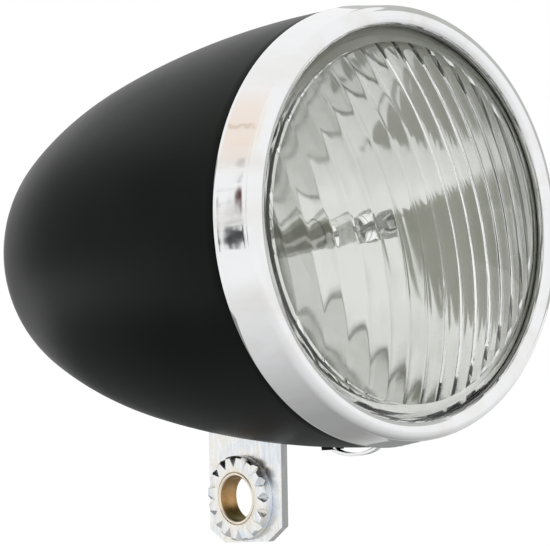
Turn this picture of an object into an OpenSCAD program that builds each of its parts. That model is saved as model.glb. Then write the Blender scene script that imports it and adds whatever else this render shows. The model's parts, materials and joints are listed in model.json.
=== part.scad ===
// Bicycle headlight: a painted bullet shell, a plated bezel that hinges at the top,
// a domed fluted lens, a reflector with one long-nosed LED, three cells in a carrier
// and a plated bracket tab with a serrated rosette round a brass bush.
// Origin at the middle of the bush's bore line; the lens faces -Y and +Z is up.

/* [Place of the lamp on its bracket] */
// Distance from the shell's skin down to the bush's bore
bore_drop = 11.92; // [11:0.02:14]
// Distance from the bezel's rear edge back to the bush's bore
bore_back = 40; // [36:0.5:44]

/* [Shell] */
// Outer radius of the shell at its mouth
shell_r = 39.8; // [38.4:0.2:42]
// Sheet thickness of the shell
shell_wall = 1.0; // [0.8:0.1:1.2]
// Radius of the long arc that forms the flank
flank_r = 217; // [200:1:260]
// Angle that the flank arc turns through
flank_turn = 14; // [12:0.2:15]
// Radius of the arc between flank and nose
shoulder_r = 110; // [100:1:130]
// Angle at which the shoulder arc meets the round nose
shoulder_turn = 26.6; // [24:0.2:30]
// Depth of the joggle, from the skin in to the neck under the bezel
joggle = 1.2; // [1.1:0.1:1.5]
// Length of the neck in front of the joggle
neck_len = 1.6; // [1.2:0.1:1.8]

/* [Bezel] */
// Step of the bezel's rear edge outside the shell
bezel_step = 0.2; // [0:0.1:0.5]
// Sheet thickness of the bezel
bezel_wall = 0.7; // [0.5:0.05:0.8]
// Depth of the bezel from its rear edge to its front
bezel_depth = 9.2; // [9:0.1:11]
// How much the bezel's radius shrinks from its rear edge to its rolled bead
bezel_taper = 0.9; // [0.5:0.1:1.1]
// Radius of the rolled bead round the front
bead_r = 1.9; // [1.7:0.1:2.1]
// Gap between the bezel's rear edge and the shell
bezel_gap = 0.4; // [0.3:0.05:0.6]
// Width of the hook at the top and of the catch at the bottom
hook_w = 8; // [6:0.5:10]
// Thickness of the hook and of the catch
hook_t = 0.6; // [0.5:0.05:0.7]
// Angle that the hook reaches round the neck, from straight inwards to its tip
hook_turn = 58; // [50:1:58]

/* [Lens] */
// Height of the lens's dome above its flange
dome_rise = 10.6; // [8:0.2:12]
// Thickness of the lens at the crown of a flute
lens_t = 3.0; // [2.6:0.1:3.4]
// Thickness of the lens's flange
lens_flange_t = 1.4; // [1.2:0.1:1.6]
// Distance from one flute to the next
flute_pitch = 4.2; // [3.6:0.2:5]
// Radius of each flute's rounded crown
flute_r = 9; // [6:0.5:14]
// Radius of the fluted middle of the lens
flute_zone_r = 32; // [28:0.5:33]
// Thickness of the plain rim round the flutes
lens_rim_t = 2; // [1.8:0.1:2.2]
// Number of flutes across the lens
flute_count = 17; // [17:2:23]
// How far the lens sits turned round in its bezel
lens_turn = 11; // [0:1:20]
// Thickness of the rubber seal behind the lens
seal_t = 0.7; // [0.6:0.05:0.8]
// Width of the rubber seal
seal_w = 2.4; // [1.8:0.1:3]

/* [Reflector] */
// Radius of the reflector's open bowl
bowl_r = 32; // [30:0.5:32.5]
// Depth of the bowl from its flange to its bottom
bowl_depth = 18.6; // [17:0.2:19]
// Wall of the reflector
reflector_wall = 1.2; // [1:0.1:1.5]
// Thickness of the reflector's flange
reflector_flange_t = 0.9; // [0.8:0.1:1.1]
// Thickness of the retaining ring
retainer_t = 0.8; // [0.6:0.05:0.8]
// Radial width of the retaining ring
retainer_w = 1.5; // [1.2:0.1:2]

/* [LED and its board] */
// Radius of the LED's clear body
led_r = 2.5; // [2.4:0.05:2.6]
// Radius of the LED's flange
led_flange_r = 2.9; // [2.8:0.05:3]
// Thickness of the LED's flange
led_flange_t = 1.0; // [0.8:0.1:1.2]
// Length of the LED from flange to tip
led_len = 8.6; // [8:0.1:9]
// Distance from the reflector's rim plane back to the LED's tip
led_tip_back = 0.7; // [0.2:0.1:2]
// Side of the LED's square leads
lead_t = 0.5; // [0.4:0.05:0.6]
// Distance between the two leads
lead_pitch = 2.54; // [2.3:0.02:2.6]
// Radius of the board
board_r = 16; // [14:0.5:17]
// Thickness of the board
board_t = 1.6; // [1.2:0.1:1.8]
// Distance from the lamp's axis to each board screw
board_screw_at = 11; // [10:0.5:12]

/* [Cells and their carrier] */
// Radius of one cell
cell_r = 5.25; // [5:0.05:5.3]
// Length of one cell with its button
cell_len = 44.5; // [43:0.1:45]
// Number of cells side by side
cell_count = 3; // [3:1:3]
// Gap between neighbouring cells
cell_gap = 0.5; // [0.4:0.1:0.8]
// Height of the cells' centres below the lamp's axis
cells_drop = 6; // [4:0.5:7]
// Floor and wall thickness of the carrier
carrier_wall = 1.4; // [1.2:0.1:1.6]
// Distance from the bezel's rear edge back to the carrier
carrier_at = 21.75; // [21.5:0.25:23]
// Radius of the carrier's two posts
post_r = 3; // [2.8:0.1:3.4]

/* [Bracket] */
// Thickness of the tab's plate
tab_t = 1.5; // [1.2:0.1:2]
// Width of the tab
tab_w = 20; // [18:0.5:22]
// How far the tab's edges lean back from square to the lamp's axis
tab_lean = 5; // [0:1:8]
// Distance from the bore down to the tab's lower edge
tab_below = 8.4; // [8:0.2:12]
// How far the tab's middle sits in front of the bore
tab_forward = 0.5; // [0:0.1:1]
// Length of the chamfer on the tab's lower corners, along the edge
tab_chamfer = 4; // [2:0.2:5]
// Height of the chamfer on the tab's lower corners
tab_chamfer_h = 2.7; // [1.5:0.1:4]
// Width of the foot that lies on the shell's floor
foot_w = 15; // [13:0.5:17]
// Radius of the brass bush's bore
bore_r = 4.2; // [3.9:0.1:4.7]
// Wall of the bush
bush_wall = 0.7; // [0.5:0.1:0.9]
// Radius of the bush's rear flange
bush_flange_r = 6.6; // [6.2:0.1:8]
// Thickness of the bush's rear flange
bush_flange_t = 0.7; // [0.5:0.1:1]
// Outer radius of the rosette
rosette_r = 8; // [7.6:0.1:9.2]
// Thickness of the rosette
rosette_t = 2.1; // [1.8:0.1:2.4]
// Number of teeth round the rosette
rosette_teeth = 16; // [12:2:20]
// Depth of the rosette's teeth at the rim
tooth_depth = 1.1; // [0.8:0.1:1.3]

/* [Latch] */
// Width of the latch strip
latch_w = 1.4; // [1.2:0.1:2]
// Thickness of the latch strip
latch_t = 0.6; // [0.5:0.05:0.7]
// Distance from the bezel's rear edge back to the latch pin
latch_at = 15.8; // [15.4:0.1:17]
// Depth of the latch pin's line under the shell's skin
pin_depth = 1.0; // [0.9:0.05:1.2]
// Gap between the latch's bow and the shell
latch_bow = 1.05; // [0.8:0.05:1.4]
// Radius of the latch pin
pin_r = 0.6; // [0.5:0.05:0.8]

/* [Switch] */
// Angle along the shoulder at which the button sits
switch_turn = 20; // [18:0.5:22]
// Radius of the push button
button_r = 4.1; // [3.8:0.1:4.4]
// Travel of the push button
button_travel = 1.5; // [1:0.1:2]
// How far the button stands proud of the shell
button_proud = 0.4; // [0.2:0.1:0.8]

/* [Fits] */
// Running gap between a pin or plunger and its hole
running_gap = 0.05; // [0.03:0.01:0.08]
// Seat gap between pieces that lie against each other
seat_gap = 0.05; // [0.03:0.01:0.1]
// Free gap between pieces that move past each other
free_gap = 0.3; // [0.25:0.05:0.4]

/* [Hidden] */
$fn = 96;

// Colours
paint = [0.05, 0.055, 0.055];
chrome = [0.82, 0.83, 0.85];
zinc = [0.8, 0.82, 0.84];
brass = [0.72, 0.55, 0.25];
clear = [0.9, 0.93, 0.93, 0.4];
rubber = [0.08, 0.08, 0.08];
plastic = [0.12, 0.12, 0.13];

// Unit vector at an angle in an outline
function dir(a) = [cos(a), sin(a)];

// Centres and joints of the shell's three tangent arcs, as [radius, distance back]
flank_c = [shell_r - flank_r, 0];
flank_end = flank_c + flank_r * dir(flank_turn);
shoulder_c = flank_end - shoulder_r * dir(flank_turn);
shoulder_end = shoulder_c + shoulder_r * dir(shoulder_turn);
nose_r = shoulder_end.x / cos(shoulder_turn);
nose_c = shoulder_end - nose_r * dir(shoulder_turn);

// Radius of the flank at a distance back from the bezel, under an inset
function flank_at(back, inset = 0) = flank_c.x + sqrt(pow(flank_r - inset, 2) - back * back);
// Radius of the shell's skin anywhere behind the bezel, under an inset
function skin_at(back, inset = 0) =
    back < (flank_r - inset) * sin(flank_turn) ? flank_at(back, inset)
    : shoulder_c.x + sqrt(pow(shoulder_r - inset, 2) - pow(back - shoulder_c.y, 2));

// Height of the lamp's axis above the bush's bore
axis_h = skin_at(bore_back) + bore_drop;

// Neck, bezel and what is stacked inside it, front to back
neck_r = shell_r - joggle;
bezel_r = shell_r + bezel_step;
bead_c = [bezel_r - bezel_taper - bead_r, bead_r - bezel_depth];
lip_r = bead_c.x - bead_r;
lip_end = bead_c.y + free_gap;
lens_front = lip_end + seat_gap;
lens_back = lens_front + lens_flange_t;
seal_front = lens_back + seat_gap;
seal_back = seal_front + seal_t;
rim_front = seal_back + seat_gap;
rim_back = rim_front + reflector_flange_t;
retainer_front = rim_back + seat_gap;
retainer_back = retainer_front + retainer_t;
nib_front = retainer_back + seat_gap;
nib_back = -neck_len - free_gap;
// Inner radius of the bezel's side at a distance behind its rear edge
function bezel_inner(back) = bezel_r - bezel_wall + bezel_taper * back / (bezel_depth - bead_r);
stack_r = bezel_inner(lens_front) - free_gap;
retainer_r = bezel_inner(retainer_front) - free_gap;
nib_r = retainer_r - free_gap;
nib_turn = 5;
catch_lap = 0.6;

// Hinge line at the top, where the bezel's rear edge rolls on the shell's
hinge_r = bezel_r;
hinge_back = bezel_gap / 2;
hook_curl_r = norm([neck_len + hinge_back, bezel_r - neck_r + shell_wall]) + 1.5 * free_gap;
hook_front = retainer_back + free_gap;

// Lens dome
lens_r = lip_r - free_gap;
dome_r = (lens_r * lens_r + dome_rise * dome_rise) / (2 * dome_rise);
dome_back = lens_front - dome_rise + dome_r;
dome_turn = asin(lens_r / dome_r) + 3;

// Reflector: a parabola with its bottom on the lamp's axis
focal = bowl_r * bowl_r / (4 * bowl_depth);
bowl_bottom = rim_front + bowl_depth;
neck_hole_r = led_flange_r + 2 * running_gap;
bowl_steps = 14;
function bowl_point(r) = [r, bowl_bottom - r * r / (4 * focal)];
function bowl_back(r) = bowl_point(r) + reflector_wall / norm([r, 2 * focal]) * [r, 2 * focal];
collar_wall = 1.4;
board_front = bowl_bottom + 2;
board_back = board_front + board_t;

// LED
led_tip = rim_front + led_tip_back;
led_base = led_tip + led_len;
chip_at = bowl_bottom - focal;
sleeve_r = led_flange_r;
lead_hole_r = lead_t * 0.75 + running_gap;
board_screw_r = 0.9;
board_screw_len = 4;
boss_r = 2.2;

// Carrier, with its cells' line on the lamp's centre plane
cell_pitch = 2 * cell_r + cell_gap;
tray_w = cell_pitch * cell_count + 2 * carrier_wall;
trough_r = cell_r + 3 * seat_gap;
trough_at = carrier_at + carrier_wall;
plate_t = 0.3;
plate_half = trough_r / sqrt(2) - seat_gap;
spring_w = 6;
spring_foot = 2.6;
spring_nose = 1;
blade_w = 4;
blade_foot = 6;
blade_reach = 5.4;
blade_curl = 0.6;
leaf_room = 2.8;
leaf_lap = 0.2;
trough_end = trough_at + plate_t + cell_len + leaf_room;
tray_end = trough_end + carrier_wall;
tray_bottom = cells_drop + cell_r + carrier_wall;
tray_top = cells_drop - 1;
wall_top = cells_drop - cell_r;
cell_x = [for (i = [0:cell_count - 1]) (i - (cell_count - 1) / 2) * cell_pitch];
button_cell_r = 2.75;
button_cell_t = 1.0;
pad_r = 3;
blade_tip = board_back + plate_t + free_gap;
pad_x = 8.5;

// Bracket, measured from the bore
foot_front = bore_back - tab_w / 2;
foot_back = bore_back + tab_w / 2 - 2;
foot_inset = shell_wall + seat_gap;
rivet_turn = 12;
rivet_r = 1.5;
rivet_head_r = 2.6;
rivet_head_t = 0.7;
rivet_crown_r = 1.8;
rivet_sink = 0.8;
rivet_tail_r = 2.3;
rivet_tail_t = 1;
rivet_pitch = 11;
rivet_back = [for (side = [-1, 1]) (foot_front + foot_back) / 2 + side * rivet_pitch / 2];
rosette_x = tab_t / 2;
bush_r = bore_r + bush_wall;
bush_front = rosette_x + rosette_t;
bush_back = tab_t / 2 + bush_flange_t;
tooth_in_r = bush_r + 0.9;

// Carrier posts stand in front of and behind the bracket's foot
tab_in_h = axis_h - skin_at(bore_back, foot_inset + tab_t);
front_post = foot_front - tab_forward - tan(tab_lean) * tab_in_h - post_r - free_gap;
rear_post = foot_back + post_r + 5 * free_gap;
screw_r = 1.4;
screw_head_r = 2.7;
screw_len = 9;

// Latch
eye_r = pin_r + latch_t + running_gap;
latch_pin_r = skin_at(latch_at) - pin_depth;
latch_lap = 0.08;
strip_r = latch_pin_r + eye_r - latch_lap;
bow_from = 4.4;
bow_to = latch_at - 0.7;
bow_mid = (bow_from + bow_to) / 2;
bow_top = skin_at(bow_mid) + latch_bow + latch_t;
bow_rise = bow_top - shell_r - 0.45;
bow_arc_r = (pow((bow_to - bow_from) / 2, 2) + bow_rise * bow_rise) / (2 * bow_rise);
bow_turn = asin((bow_to - bow_from) / 2 / bow_arc_r);
slot_reach = 4;
tip_at = 3.1;
tip_r = shell_r - shell_wall - 2 * free_gap - 0.1;
lip_at = tip_at + latch_t + free_gap;
tip_slot_end = bow_from + 1.4;
yoke_t = 0.8;
yoke_x = latch_w / 2 + free_gap;
ear_len = 2.2;
ear_up = 0.6;
wing_w = 3;
ear_root = 1.9;

// Switch
switch_c = shoulder_c + shoulder_r * dir(switch_turn);
collar_r = button_r + 1.9;
body_r = collar_r + 1.2;
body_len = 11;
button_in = 5;
stem_floor = 3;
terminal_at = 3;
terminal_w = 2.4;
terminal_drop = 3;
wire_out_r = 0.6;
lead_sag = 2.5;

// Places children, drawn round a vertical axis, along the lamp's axis with the top up
module lamp() translate([0, -bore_back, axis_h]) rotate([-90, 0, 0]) children();
// Places children on the shell's skin at the switch, +Z outwards
module at_switch() lamp() translate([0, -switch_c.x, switch_c.y])
    rotate([90 - switch_turn, 0, 0]) children();
// Places children at a turn round the belly, +Z pointing out of the shell
module out_at(back, turn = 0) lamp() rotate([0, 0, -turn]) translate([0, 0, back])
    rotate([-90, 0, 0]) children();

// Points along one arc of the shell's outline
function arc_points(c, r, from, to, steps) =
    [for (i = [0:steps]) c + r * dir(from + (to - from) * i / steps)];
// Points from a distance behind the bezel to the tip of the nose, under an inset
function skin_points(start, inset) = concat(
    arc_points(flank_c, flank_r - inset, asin(start / (flank_r - inset)), flank_turn, 9),
    arc_points(shoulder_c, shoulder_r - inset, flank_turn + 2.1, shoulder_turn, 5),
    arc_points(nose_c, nose_r - inset, shoulder_turn + 5.3, 90, 11)
);
function reversed(list) = [for (i = [len(list) - 1:-1:0]) list[i]];
// The outline filled to the lamp's axis, under an inset
module shell_outline(inset) polygon(concat([[0, bezel_gap]], skin_points(bezel_gap, inset)));
// The space inside a skin that lies under an inset, or outside the skin if it is negative
module shell_fill(inset) lamp() rotate_extrude() shell_outline(inset);

// Shell
module housing_shell() color(paint) difference() {
    lamp() rotate_extrude() polygon(concat(
        [[neck_r - shell_wall, -neck_len], [neck_r, -neck_len], [neck_r, bezel_gap]],
        skin_points(bezel_gap, 0),
        reversed(skin_points(bezel_gap + shell_wall, shell_wall)),
        [[neck_r - shell_wall, bezel_gap + shell_wall]]
    ));
    tab_slot();
    catch_notch();
    latch_slots();
    for (back = rivet_back) out_at(back, rivet_turn) cylinder(r = rivet_r + running_gap, h = 2 * shell_r);
    for (back = [front_post, rear_post]) screw_shape(back, seat_gap);
    at_switch() translate([0, 0, -body_len / 2]) cylinder(r = collar_r + 2 * seat_gap, h = body_len);
}
module tab_slot() {
    slot_t = tab_t + 4 * seat_gap;
    translate([-slot_t / 2, 0, 0]) rotate([90, 0, 90]) linear_extrude(slot_t)
        tab_outline(2 * seat_gap, axis_h - skin_at(bore_back, 2 * foot_inset + 2 * tab_t));
}
// Notch through the neck and its web for the catch
module catch_notch() lamp() translate([-hook_w / 2 - free_gap, neck_r - shell_wall - 1, -neck_len - 1])
    cube([hook_w + 2 * free_gap, shell_wall + 1.5, neck_len + bezel_gap + shell_wall + 1.2]);
// Slots through the skin for the latch's strip, its tip and the yoke's ears
module latch_slots() lamp() {
    eye_room = eye_r + free_gap;
    for (span = [[latch_at - eye_room, latch_at + eye_room], [tip_at - free_gap, tip_slot_end]])
        translate([-latch_w / 2 - free_gap, latch_pin_r - slot_reach, span[0]])
            cube([latch_w + 2 * free_gap, 2 * slot_reach, span[1] - span[0]]);
    ear_x = yoke_x + yoke_t + 2 * seat_gap;
    translate([-ear_x, latch_pin_r - slot_reach, latch_at - ear_len / 2 - 2 * seat_gap])
        cube([2 * ear_x, 2 * slot_reach, ear_len + 4 * seat_gap]);
}

// Bracket
module tab_outline(grow, top) {
    lean = tan(tab_lean);
    front = -tab_w / 2 - tab_forward - grow;
    rear = tab_w / 2 - tab_forward + grow;
    low = -tab_below;
    knee = low + tab_chamfer_h;
    polygon([
        [front - top * lean, top], [rear - top * lean, top],
        [rear - knee * lean, knee], [rear - tab_chamfer - low * lean, low],
        [front + tab_chamfer - low * lean, low], [front - knee * lean, knee]
    ]);
}
module bracket_tab() color(zinc) difference() {
    union() {
        difference() {
            translate([-tab_t / 2, 0, 0]) rotate([90, 0, 90]) linear_extrude(tab_t)
                tab_outline(0, axis_h - skin_at(bore_back, foot_inset + 2 * tab_t));
            shell_fill(foot_inset + tab_t);
        }
        foot();
    }
    rotate([0, 90, 0]) cylinder(r = bush_r + seat_gap, h = 4 * tab_t, center = true);
    for (back = rivet_back) out_at(back, rivet_turn) cylinder(r = rivet_r + running_gap, h = 2 * shell_r);
}
// The foot lies on the shell's floor and turns away on the +X side
module foot() {
    reach = skin_at(bore_back, foot_inset);
    over = asin(tab_t / 2 / reach);
    turn = asin(foot_w / reach);
    steps = [for (i = [0:4]) foot_front + (foot_back - foot_front) * i / 4];
    lamp() rotate([0, 0, 90 - turn]) rotate_extrude(angle = turn + over) polygon(concat(
        [for (s = steps) [skin_at(s, foot_inset), s]],
        [for (s = reversed(steps)) [skin_at(s, foot_inset + tab_t), s]]
    ));
}
module bracket_rivets() color(paint) for (back = rivet_back) {
    skin = skin_at(back);
    inner = skin - foot_inset - tab_t;
    out_at(back, rivet_turn) translate([0, 0, inner - rivet_tail_t / 2])
        cylinder(r = rivet_r, h = skin - inner + rivet_tail_t / 2 + rivet_head_t / 3);
    difference() {
        out_at(back, rivet_turn) translate([0, 0, skin - rivet_sink])
            cylinder(r1 = rivet_head_r, r2 = rivet_crown_r, h = rivet_sink + rivet_head_t);
        shell_fill(-seat_gap);
    }
    intersection() {
        out_at(back, rivet_turn) translate([0, 0, inner - rivet_tail_t])
            cylinder(r = rivet_tail_r, h = 2 * rivet_tail_t);
        shell_fill(foot_inset + tab_t + seat_gap);
    }
}

// Rosette: a washer with serrations that deepen towards its rim
module rosette() color(zinc) rotate([0, -90, 0]) translate([0, 0, rosette_x]) difference() {
    cylinder(r = rosette_r, h = rosette_t);
    translate([0, 0, -1]) cylinder(r = bush_r + seat_gap, h = rosette_t + 2);
    for (i = [0:rosette_teeth - 1]) rotate([0, 0, i * 360 / rosette_teeth]) groove();
}
// One groove between two teeth, rising towards the middle
module groove() {
    half = PI * rosette_r / rosette_teeth * 0.8;
    climb = atan(tooth_depth / (rosette_r - tooth_in_r));
    translate([rosette_r, 0, rosette_t - tooth_depth]) rotate([0, climb, 0])
        translate([-rosette_r, 0, 0]) rotate([90, 0, 90]) linear_extrude(rosette_r + 2)
        polygon([[0, 0], [2 * half, 2 * tooth_depth], [-2 * half, 2 * tooth_depth]]);
}
module pivot_bush() color(brass) rotate([0, 90, 0]) difference() {
    union() {
        translate([0, 0, -bush_front]) cylinder(r = bush_r, h = bush_front + bush_back);
        translate([0, 0, tab_t / 2]) cylinder(r = bush_flange_r, h = bush_flange_t);
    }
    translate([0, 0, -bush_front - 1]) cylinder(r = bore_r, h = bush_front + bush_back + 2);
}

// Bezel: a tapered band whose front edge is rolled into a bead
module bezel_ring() color(chrome) lamp() {
    rotate_extrude() {
        polygon([
            [bezel_r - bezel_wall, 0], [bezel_r, 0],
            [bead_c.x + bead_r, bead_c.y], [bead_c.x + bead_r - bezel_wall, bead_c.y]
        ]);
        translate(bead_c) intersection() {
            difference() {
                circle(bead_r);
                circle(bead_r - bezel_wall);
            }
            translate([-bead_r, -bead_r]) square([2 * bead_r, bead_r]);
        }
        translate([lip_r, bead_c.y]) square([bezel_wall, lip_end - bead_c.y]);
    }
    // Four dents that hold the retaining ring
    for (a = [45:90:315]) rotate([0, 0, a - nib_turn / 2]) rotate_extrude(angle = nib_turn)
        translate([nib_r, nib_front]) square([bezel_r - bezel_wall / 2 - nib_r - 0.3, nib_back - nib_front]);
}
// Hook at the top: a tongue curled round the shell's neck about the hinge line
module bezel_hook() color(chrome) lamp() intersection() {
    outer = hook_curl_r + hook_t;
    front = hook_front - hinge_back;
    start = asin(front / outer);
    union() {
        translate([-hook_w / 2, -hinge_r, hinge_back]) rotate([0, 90, 0]) rotate([0, 0, 90 + start])
            rotate_extrude(angle = hook_turn - start)
            translate([hook_curl_r, 0]) square([hook_t, hook_w]);
        translate([-hook_w / 2, -hinge_r, hook_front])
            cube([hook_w, outer * cos(start) - hook_t / 4, hook_t]);
    }
    translate([0, 0, hook_front - hook_t])
        cylinder(r = bezel_inner(hook_front) - seat_gap, h = 4 * hook_curl_r);
}
// Catch at the bottom: a tongue whose upturned lip is held by the latch's tip
module bezel_catch() color(chrome) lamp() {
    high = bezel_inner(nib_back - catch_lap) - seat_gap;
    low = shell_r - shell_wall - 3 * free_gap;
    half = asin(hook_w / 2 / neck_r);
    rotate([0, 0, 90 - half]) rotate_extrude(angle = 2 * half) polygon([
        [high - hook_t, nib_back - catch_lap], [high, nib_back - catch_lap], [high, -0.9],
        [low, 0.2], [low, lip_at],
        [low + hook_t, lip_at], [low + hook_t, lip_at + hook_t], [low - hook_t, lip_at + hook_t],
        [low - hook_t, 0], [high - hook_t, -1.2]
    ]);
}

// Lens: a domed slab whose inner side is fluted, on a flat flange
module lens() color(clear) lamp() rotate([0, 0, -lens_turn]) {
    difference() {
        intersection() {
            translate([0, 0, dome_back]) rotate([0, 90, 0]) rotate([0, 0, -dome_turn])
                rotate_extrude(angle = 2 * dome_turn, $fn = 180) fluted_outline();
            translate([0, 0, lens_front - dome_rise - 1])
                cylinder(r = lens_r, h = dome_rise + 1 + lens_flange_t);
        }
        rotate_extrude() intersection() {
            translate([0, dome_back]) circle(dome_r - lens_rim_t, $fn = 240);
            translate([flute_zone_r, lens_front - dome_rise])
                square([lens_r - flute_zone_r + 1, dome_rise + 2 * lens_flange_t]);
        }
    }
    translate([0, 0, lens_front]) difference() {
        cylinder(r = stack_r, h = lens_flange_t);
        translate([0, 0, -1]) cylinder(r = lens_r - 1, h = lens_flange_t + 2);
    }
}
// Section across the flutes: the dome's outer arc, with a rounded crown for each flute inside
module fluted_outline() intersection() {
    circle(dome_r, $fn = 240);
    for (i = [0:flute_count - 1])
        rotate([0, 0, asin((i - (flute_count - 1) / 2) * flute_pitch / dome_r)])
            translate([dome_r - lens_t + flute_r, 0]) circle(flute_r);
}
module lens_seal() color(rubber) lamp() rotate_extrude()
    translate([stack_r - seal_w, seal_front]) square([seal_w, seal_t]);

// Reflector: a parabolic bowl on a flat flange, with a collar and two bosses behind
module reflector() color(chrome) lamp() difference() {
    union() {
        rotate_extrude() {
            polygon(concat(
                [for (i = [0:bowl_steps]) bowl_point(neck_hole_r + (bowl_r - neck_hole_r) * i / bowl_steps)],
                [for (i = [bowl_steps:-1:0]) bowl_back(neck_hole_r + (bowl_r - neck_hole_r) * i / bowl_steps)]
            ));
            translate([bowl_r, rim_front]) square([stack_r - bowl_r, reflector_flange_t]);
            translate([neck_hole_r, bowl_bottom]) square([collar_wall, board_front - seat_gap - bowl_bottom]);
        }
        for (a = [0, 180]) rotate([0, 0, a]) translate([board_screw_at, 0, bowl_back(board_screw_at).y - 0.6])
            cylinder(r = boss_r, h = board_front - seat_gap - bowl_back(board_screw_at).y + 0.6, $fn = 48);
    }
    for (a = [0, 180]) rotate([0, 0, a])
        translate([board_screw_at, 0, board_back - board_screw_len])
            cylinder(r = board_screw_r + running_gap, h = board_screw_len, $fn = 32);
    rotate_extrude() polygon(concat(
        [[0, rim_front + 1], [bowl_point(bowl_r / 2).x, rim_front + 1]],
        [for (i = [bowl_steps / 2:-1:0]) bowl_point(neck_hole_r + (bowl_r - neck_hole_r) * i / bowl_steps)],
        [[0, bowl_point(neck_hole_r).y]]
    ));
}
module retaining_ring() color(chrome) lamp() rotate([0, 0, 95]) rotate_extrude(angle = 350)
    translate([retainer_r - retainer_w, retainer_front]) square([retainer_w, retainer_t]);

// LED: a clear body with a round nose, on its sleeve in front of the board
module led() color(clear) lamp() difference() {
    union() {
        translate([0, 0, led_tip + led_r]) sphere(r = led_r);
        translate([0, 0, led_tip + led_r]) cylinder(r = led_r, h = led_len - led_r);
        translate([0, 0, led_base - led_flange_t]) cylinder(r = led_flange_r, h = led_flange_t);
    }
    lead_shapes(running_gap);
}
module led_lead_frame() color(zinc) lamp() lead_shapes(0);
// Two leads, one with the cup that holds the chip and one with the bond post
module lead_shapes(grow) for (side = [-1, 1]) {
    t = lead_t + 2 * grow;
    translate([side * lead_pitch / 2 - t / 2, -t / 2, chip_at + 1.2 - grow])
        cube([t, t, board_back + 1 - chip_at - 1.2 + 2 * grow]);
    head_w = side > 0 ? 1.6 : 0.9;
    edge = lead_pitch / 2 + lead_t / 2 + grow;
    translate([side > 0 ? edge - head_w - 2 * grow : -edge, -t / 2, chip_at - grow])
        cube([head_w + 2 * grow, t, 1.5 + 2 * grow]);
}
module led_sleeve() color([0.9, 0.9, 0.88]) lamp() difference() {
    translate([0, 0, led_base + seat_gap])
        cylinder(r = sleeve_r, h = board_front - led_base - 2 * seat_gap);
    for (side = [-1, 1]) translate([side * lead_pitch / 2, 0, led_base])
        cylinder(r = lead_hole_r, h = board_front, $fn = 24);
}

// Round board behind the reflector
module lamp_board() color([0.1, 0.35, 0.2]) lamp() translate([0, 0, board_front]) difference() {
    cylinder(r = board_r, h = board_t);
    for (side = [-1, 1]) {
        translate([side * lead_pitch / 2, 0, -1]) cylinder(r = lead_hole_r, h = board_t + 2, $fn = 24);
        translate([side * board_screw_at, 0, -1])
            cylinder(r = board_screw_r + 2 * seat_gap, h = board_t + 2, $fn = 32);
        for (end = [-1, 1]) translate([end * resistor_span / 2, resistor_y, -1])
            cylinder(r = wire_r + seat_gap, h = board_t + 2, $fn = 16);
    }
}
module board_screws() color(zinc) lamp() for (side = [-1, 1]) translate([side * board_screw_at, 0, 0]) {
    translate([0, 0, board_back - board_screw_len + 0.2])
        cylinder(r = board_screw_r, h = board_screw_len, $fn = 32);
    translate([0, 0, board_back + seat_gap]) cylinder(r = 1.9, h = 1.2, $fn = 48);
}
wire_r = 0.3;
resistor_span = 10;
resistor_y = 7;
resistor_r = 1.15;
module resistor() color([0.75, 0.62, 0.42]) lamp()
    translate([0, resistor_y, board_back + resistor_r + seat_gap]) {
        rotate([0, 90, 0]) cylinder(r = resistor_r, h = 6.3, center = true);
        rotate([0, 90, 0]) cylinder(r = wire_r, h = resistor_span + 2 * wire_r, center = true, $fn = 16);
        for (end = [-1, 1]) translate([end * resistor_span / 2, 0, -resistor_r - board_t])
            cylinder(r = wire_r, h = resistor_r + board_t, $fn = 16);
    }
module board_contacts() color(brass) lamp() for (side = [-1, 1])
    translate([side * pad_x, -5, board_back]) cylinder(r = pad_r, h = plate_t, $fn = 48);

// Carrier: a tray with a trough for each cell, on two posts
module battery_carrier() color(plastic) {
    lamp() {
        difference() {
            translate([-tray_w / 2, tray_top, carrier_at])
                cube([tray_w, tray_bottom - tray_top, tray_end - carrier_at]);
            for (x = cell_x) translate([x, cells_drop, trough_at])
                cylinder(r = trough_r, h = trough_end - trough_at);
        }
        for (back = [carrier_at, trough_end]) translate([-tray_w / 2, wall_top, back])
            cube([tray_w, tray_bottom - wall_top, carrier_wall]);
    }
    difference() {
        intersection() {
            for (back = [front_post, rear_post]) out_at(back) translate([0, 0, tray_bottom - 0.5])
                cylinder(r = post_r, h = shell_r);
            shell_fill(shell_wall + seat_gap);
        }
        for (back = [front_post, rear_post]) screw_shape(back, running_gap);
    }
}
// A countersunk screw that comes up through the belly, grown all round by a clearance
module screw_shape(back, grow) {
    skin = skin_at(back);
    out_at(back) {
        translate([0, 0, skin - screw_len]) cylinder(r = screw_r + grow, h = screw_len + 1, $fn = 48);
        translate([0, 0, skin - shell_wall - free_gap])
            cylinder(r1 = screw_r + grow, r2 = screw_head_r + grow, h = shell_wall + free_gap);
    }
}
module carrier_screws() color(paint) intersection() {
    for (back = [front_post, rear_post]) screw_shape(back, 0);
    shell_fill(0);
}
module battery_cells() color([0.75, 0.35, 0.15]) lamp() for (i = [0:cell_count - 1])
    translate([cell_x[i], cells_drop, trough_at + plate_t + seat_gap + (i % 2 == 0 ? 0 : cell_len)])
        mirror([0, 0, i % 2]) {
            translate([0, 0, button_cell_t]) cylinder(r = cell_r, h = cell_len - button_cell_t);
            cylinder(r = button_cell_r, h = button_cell_t);
        }
module cell_plates() color(brass) lamp() for (x = cell_x)
    translate([x - plate_half, cells_drop - plate_half, trough_at])
        cube([2 * plate_half, 2 * plate_half, plate_t]);
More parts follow.
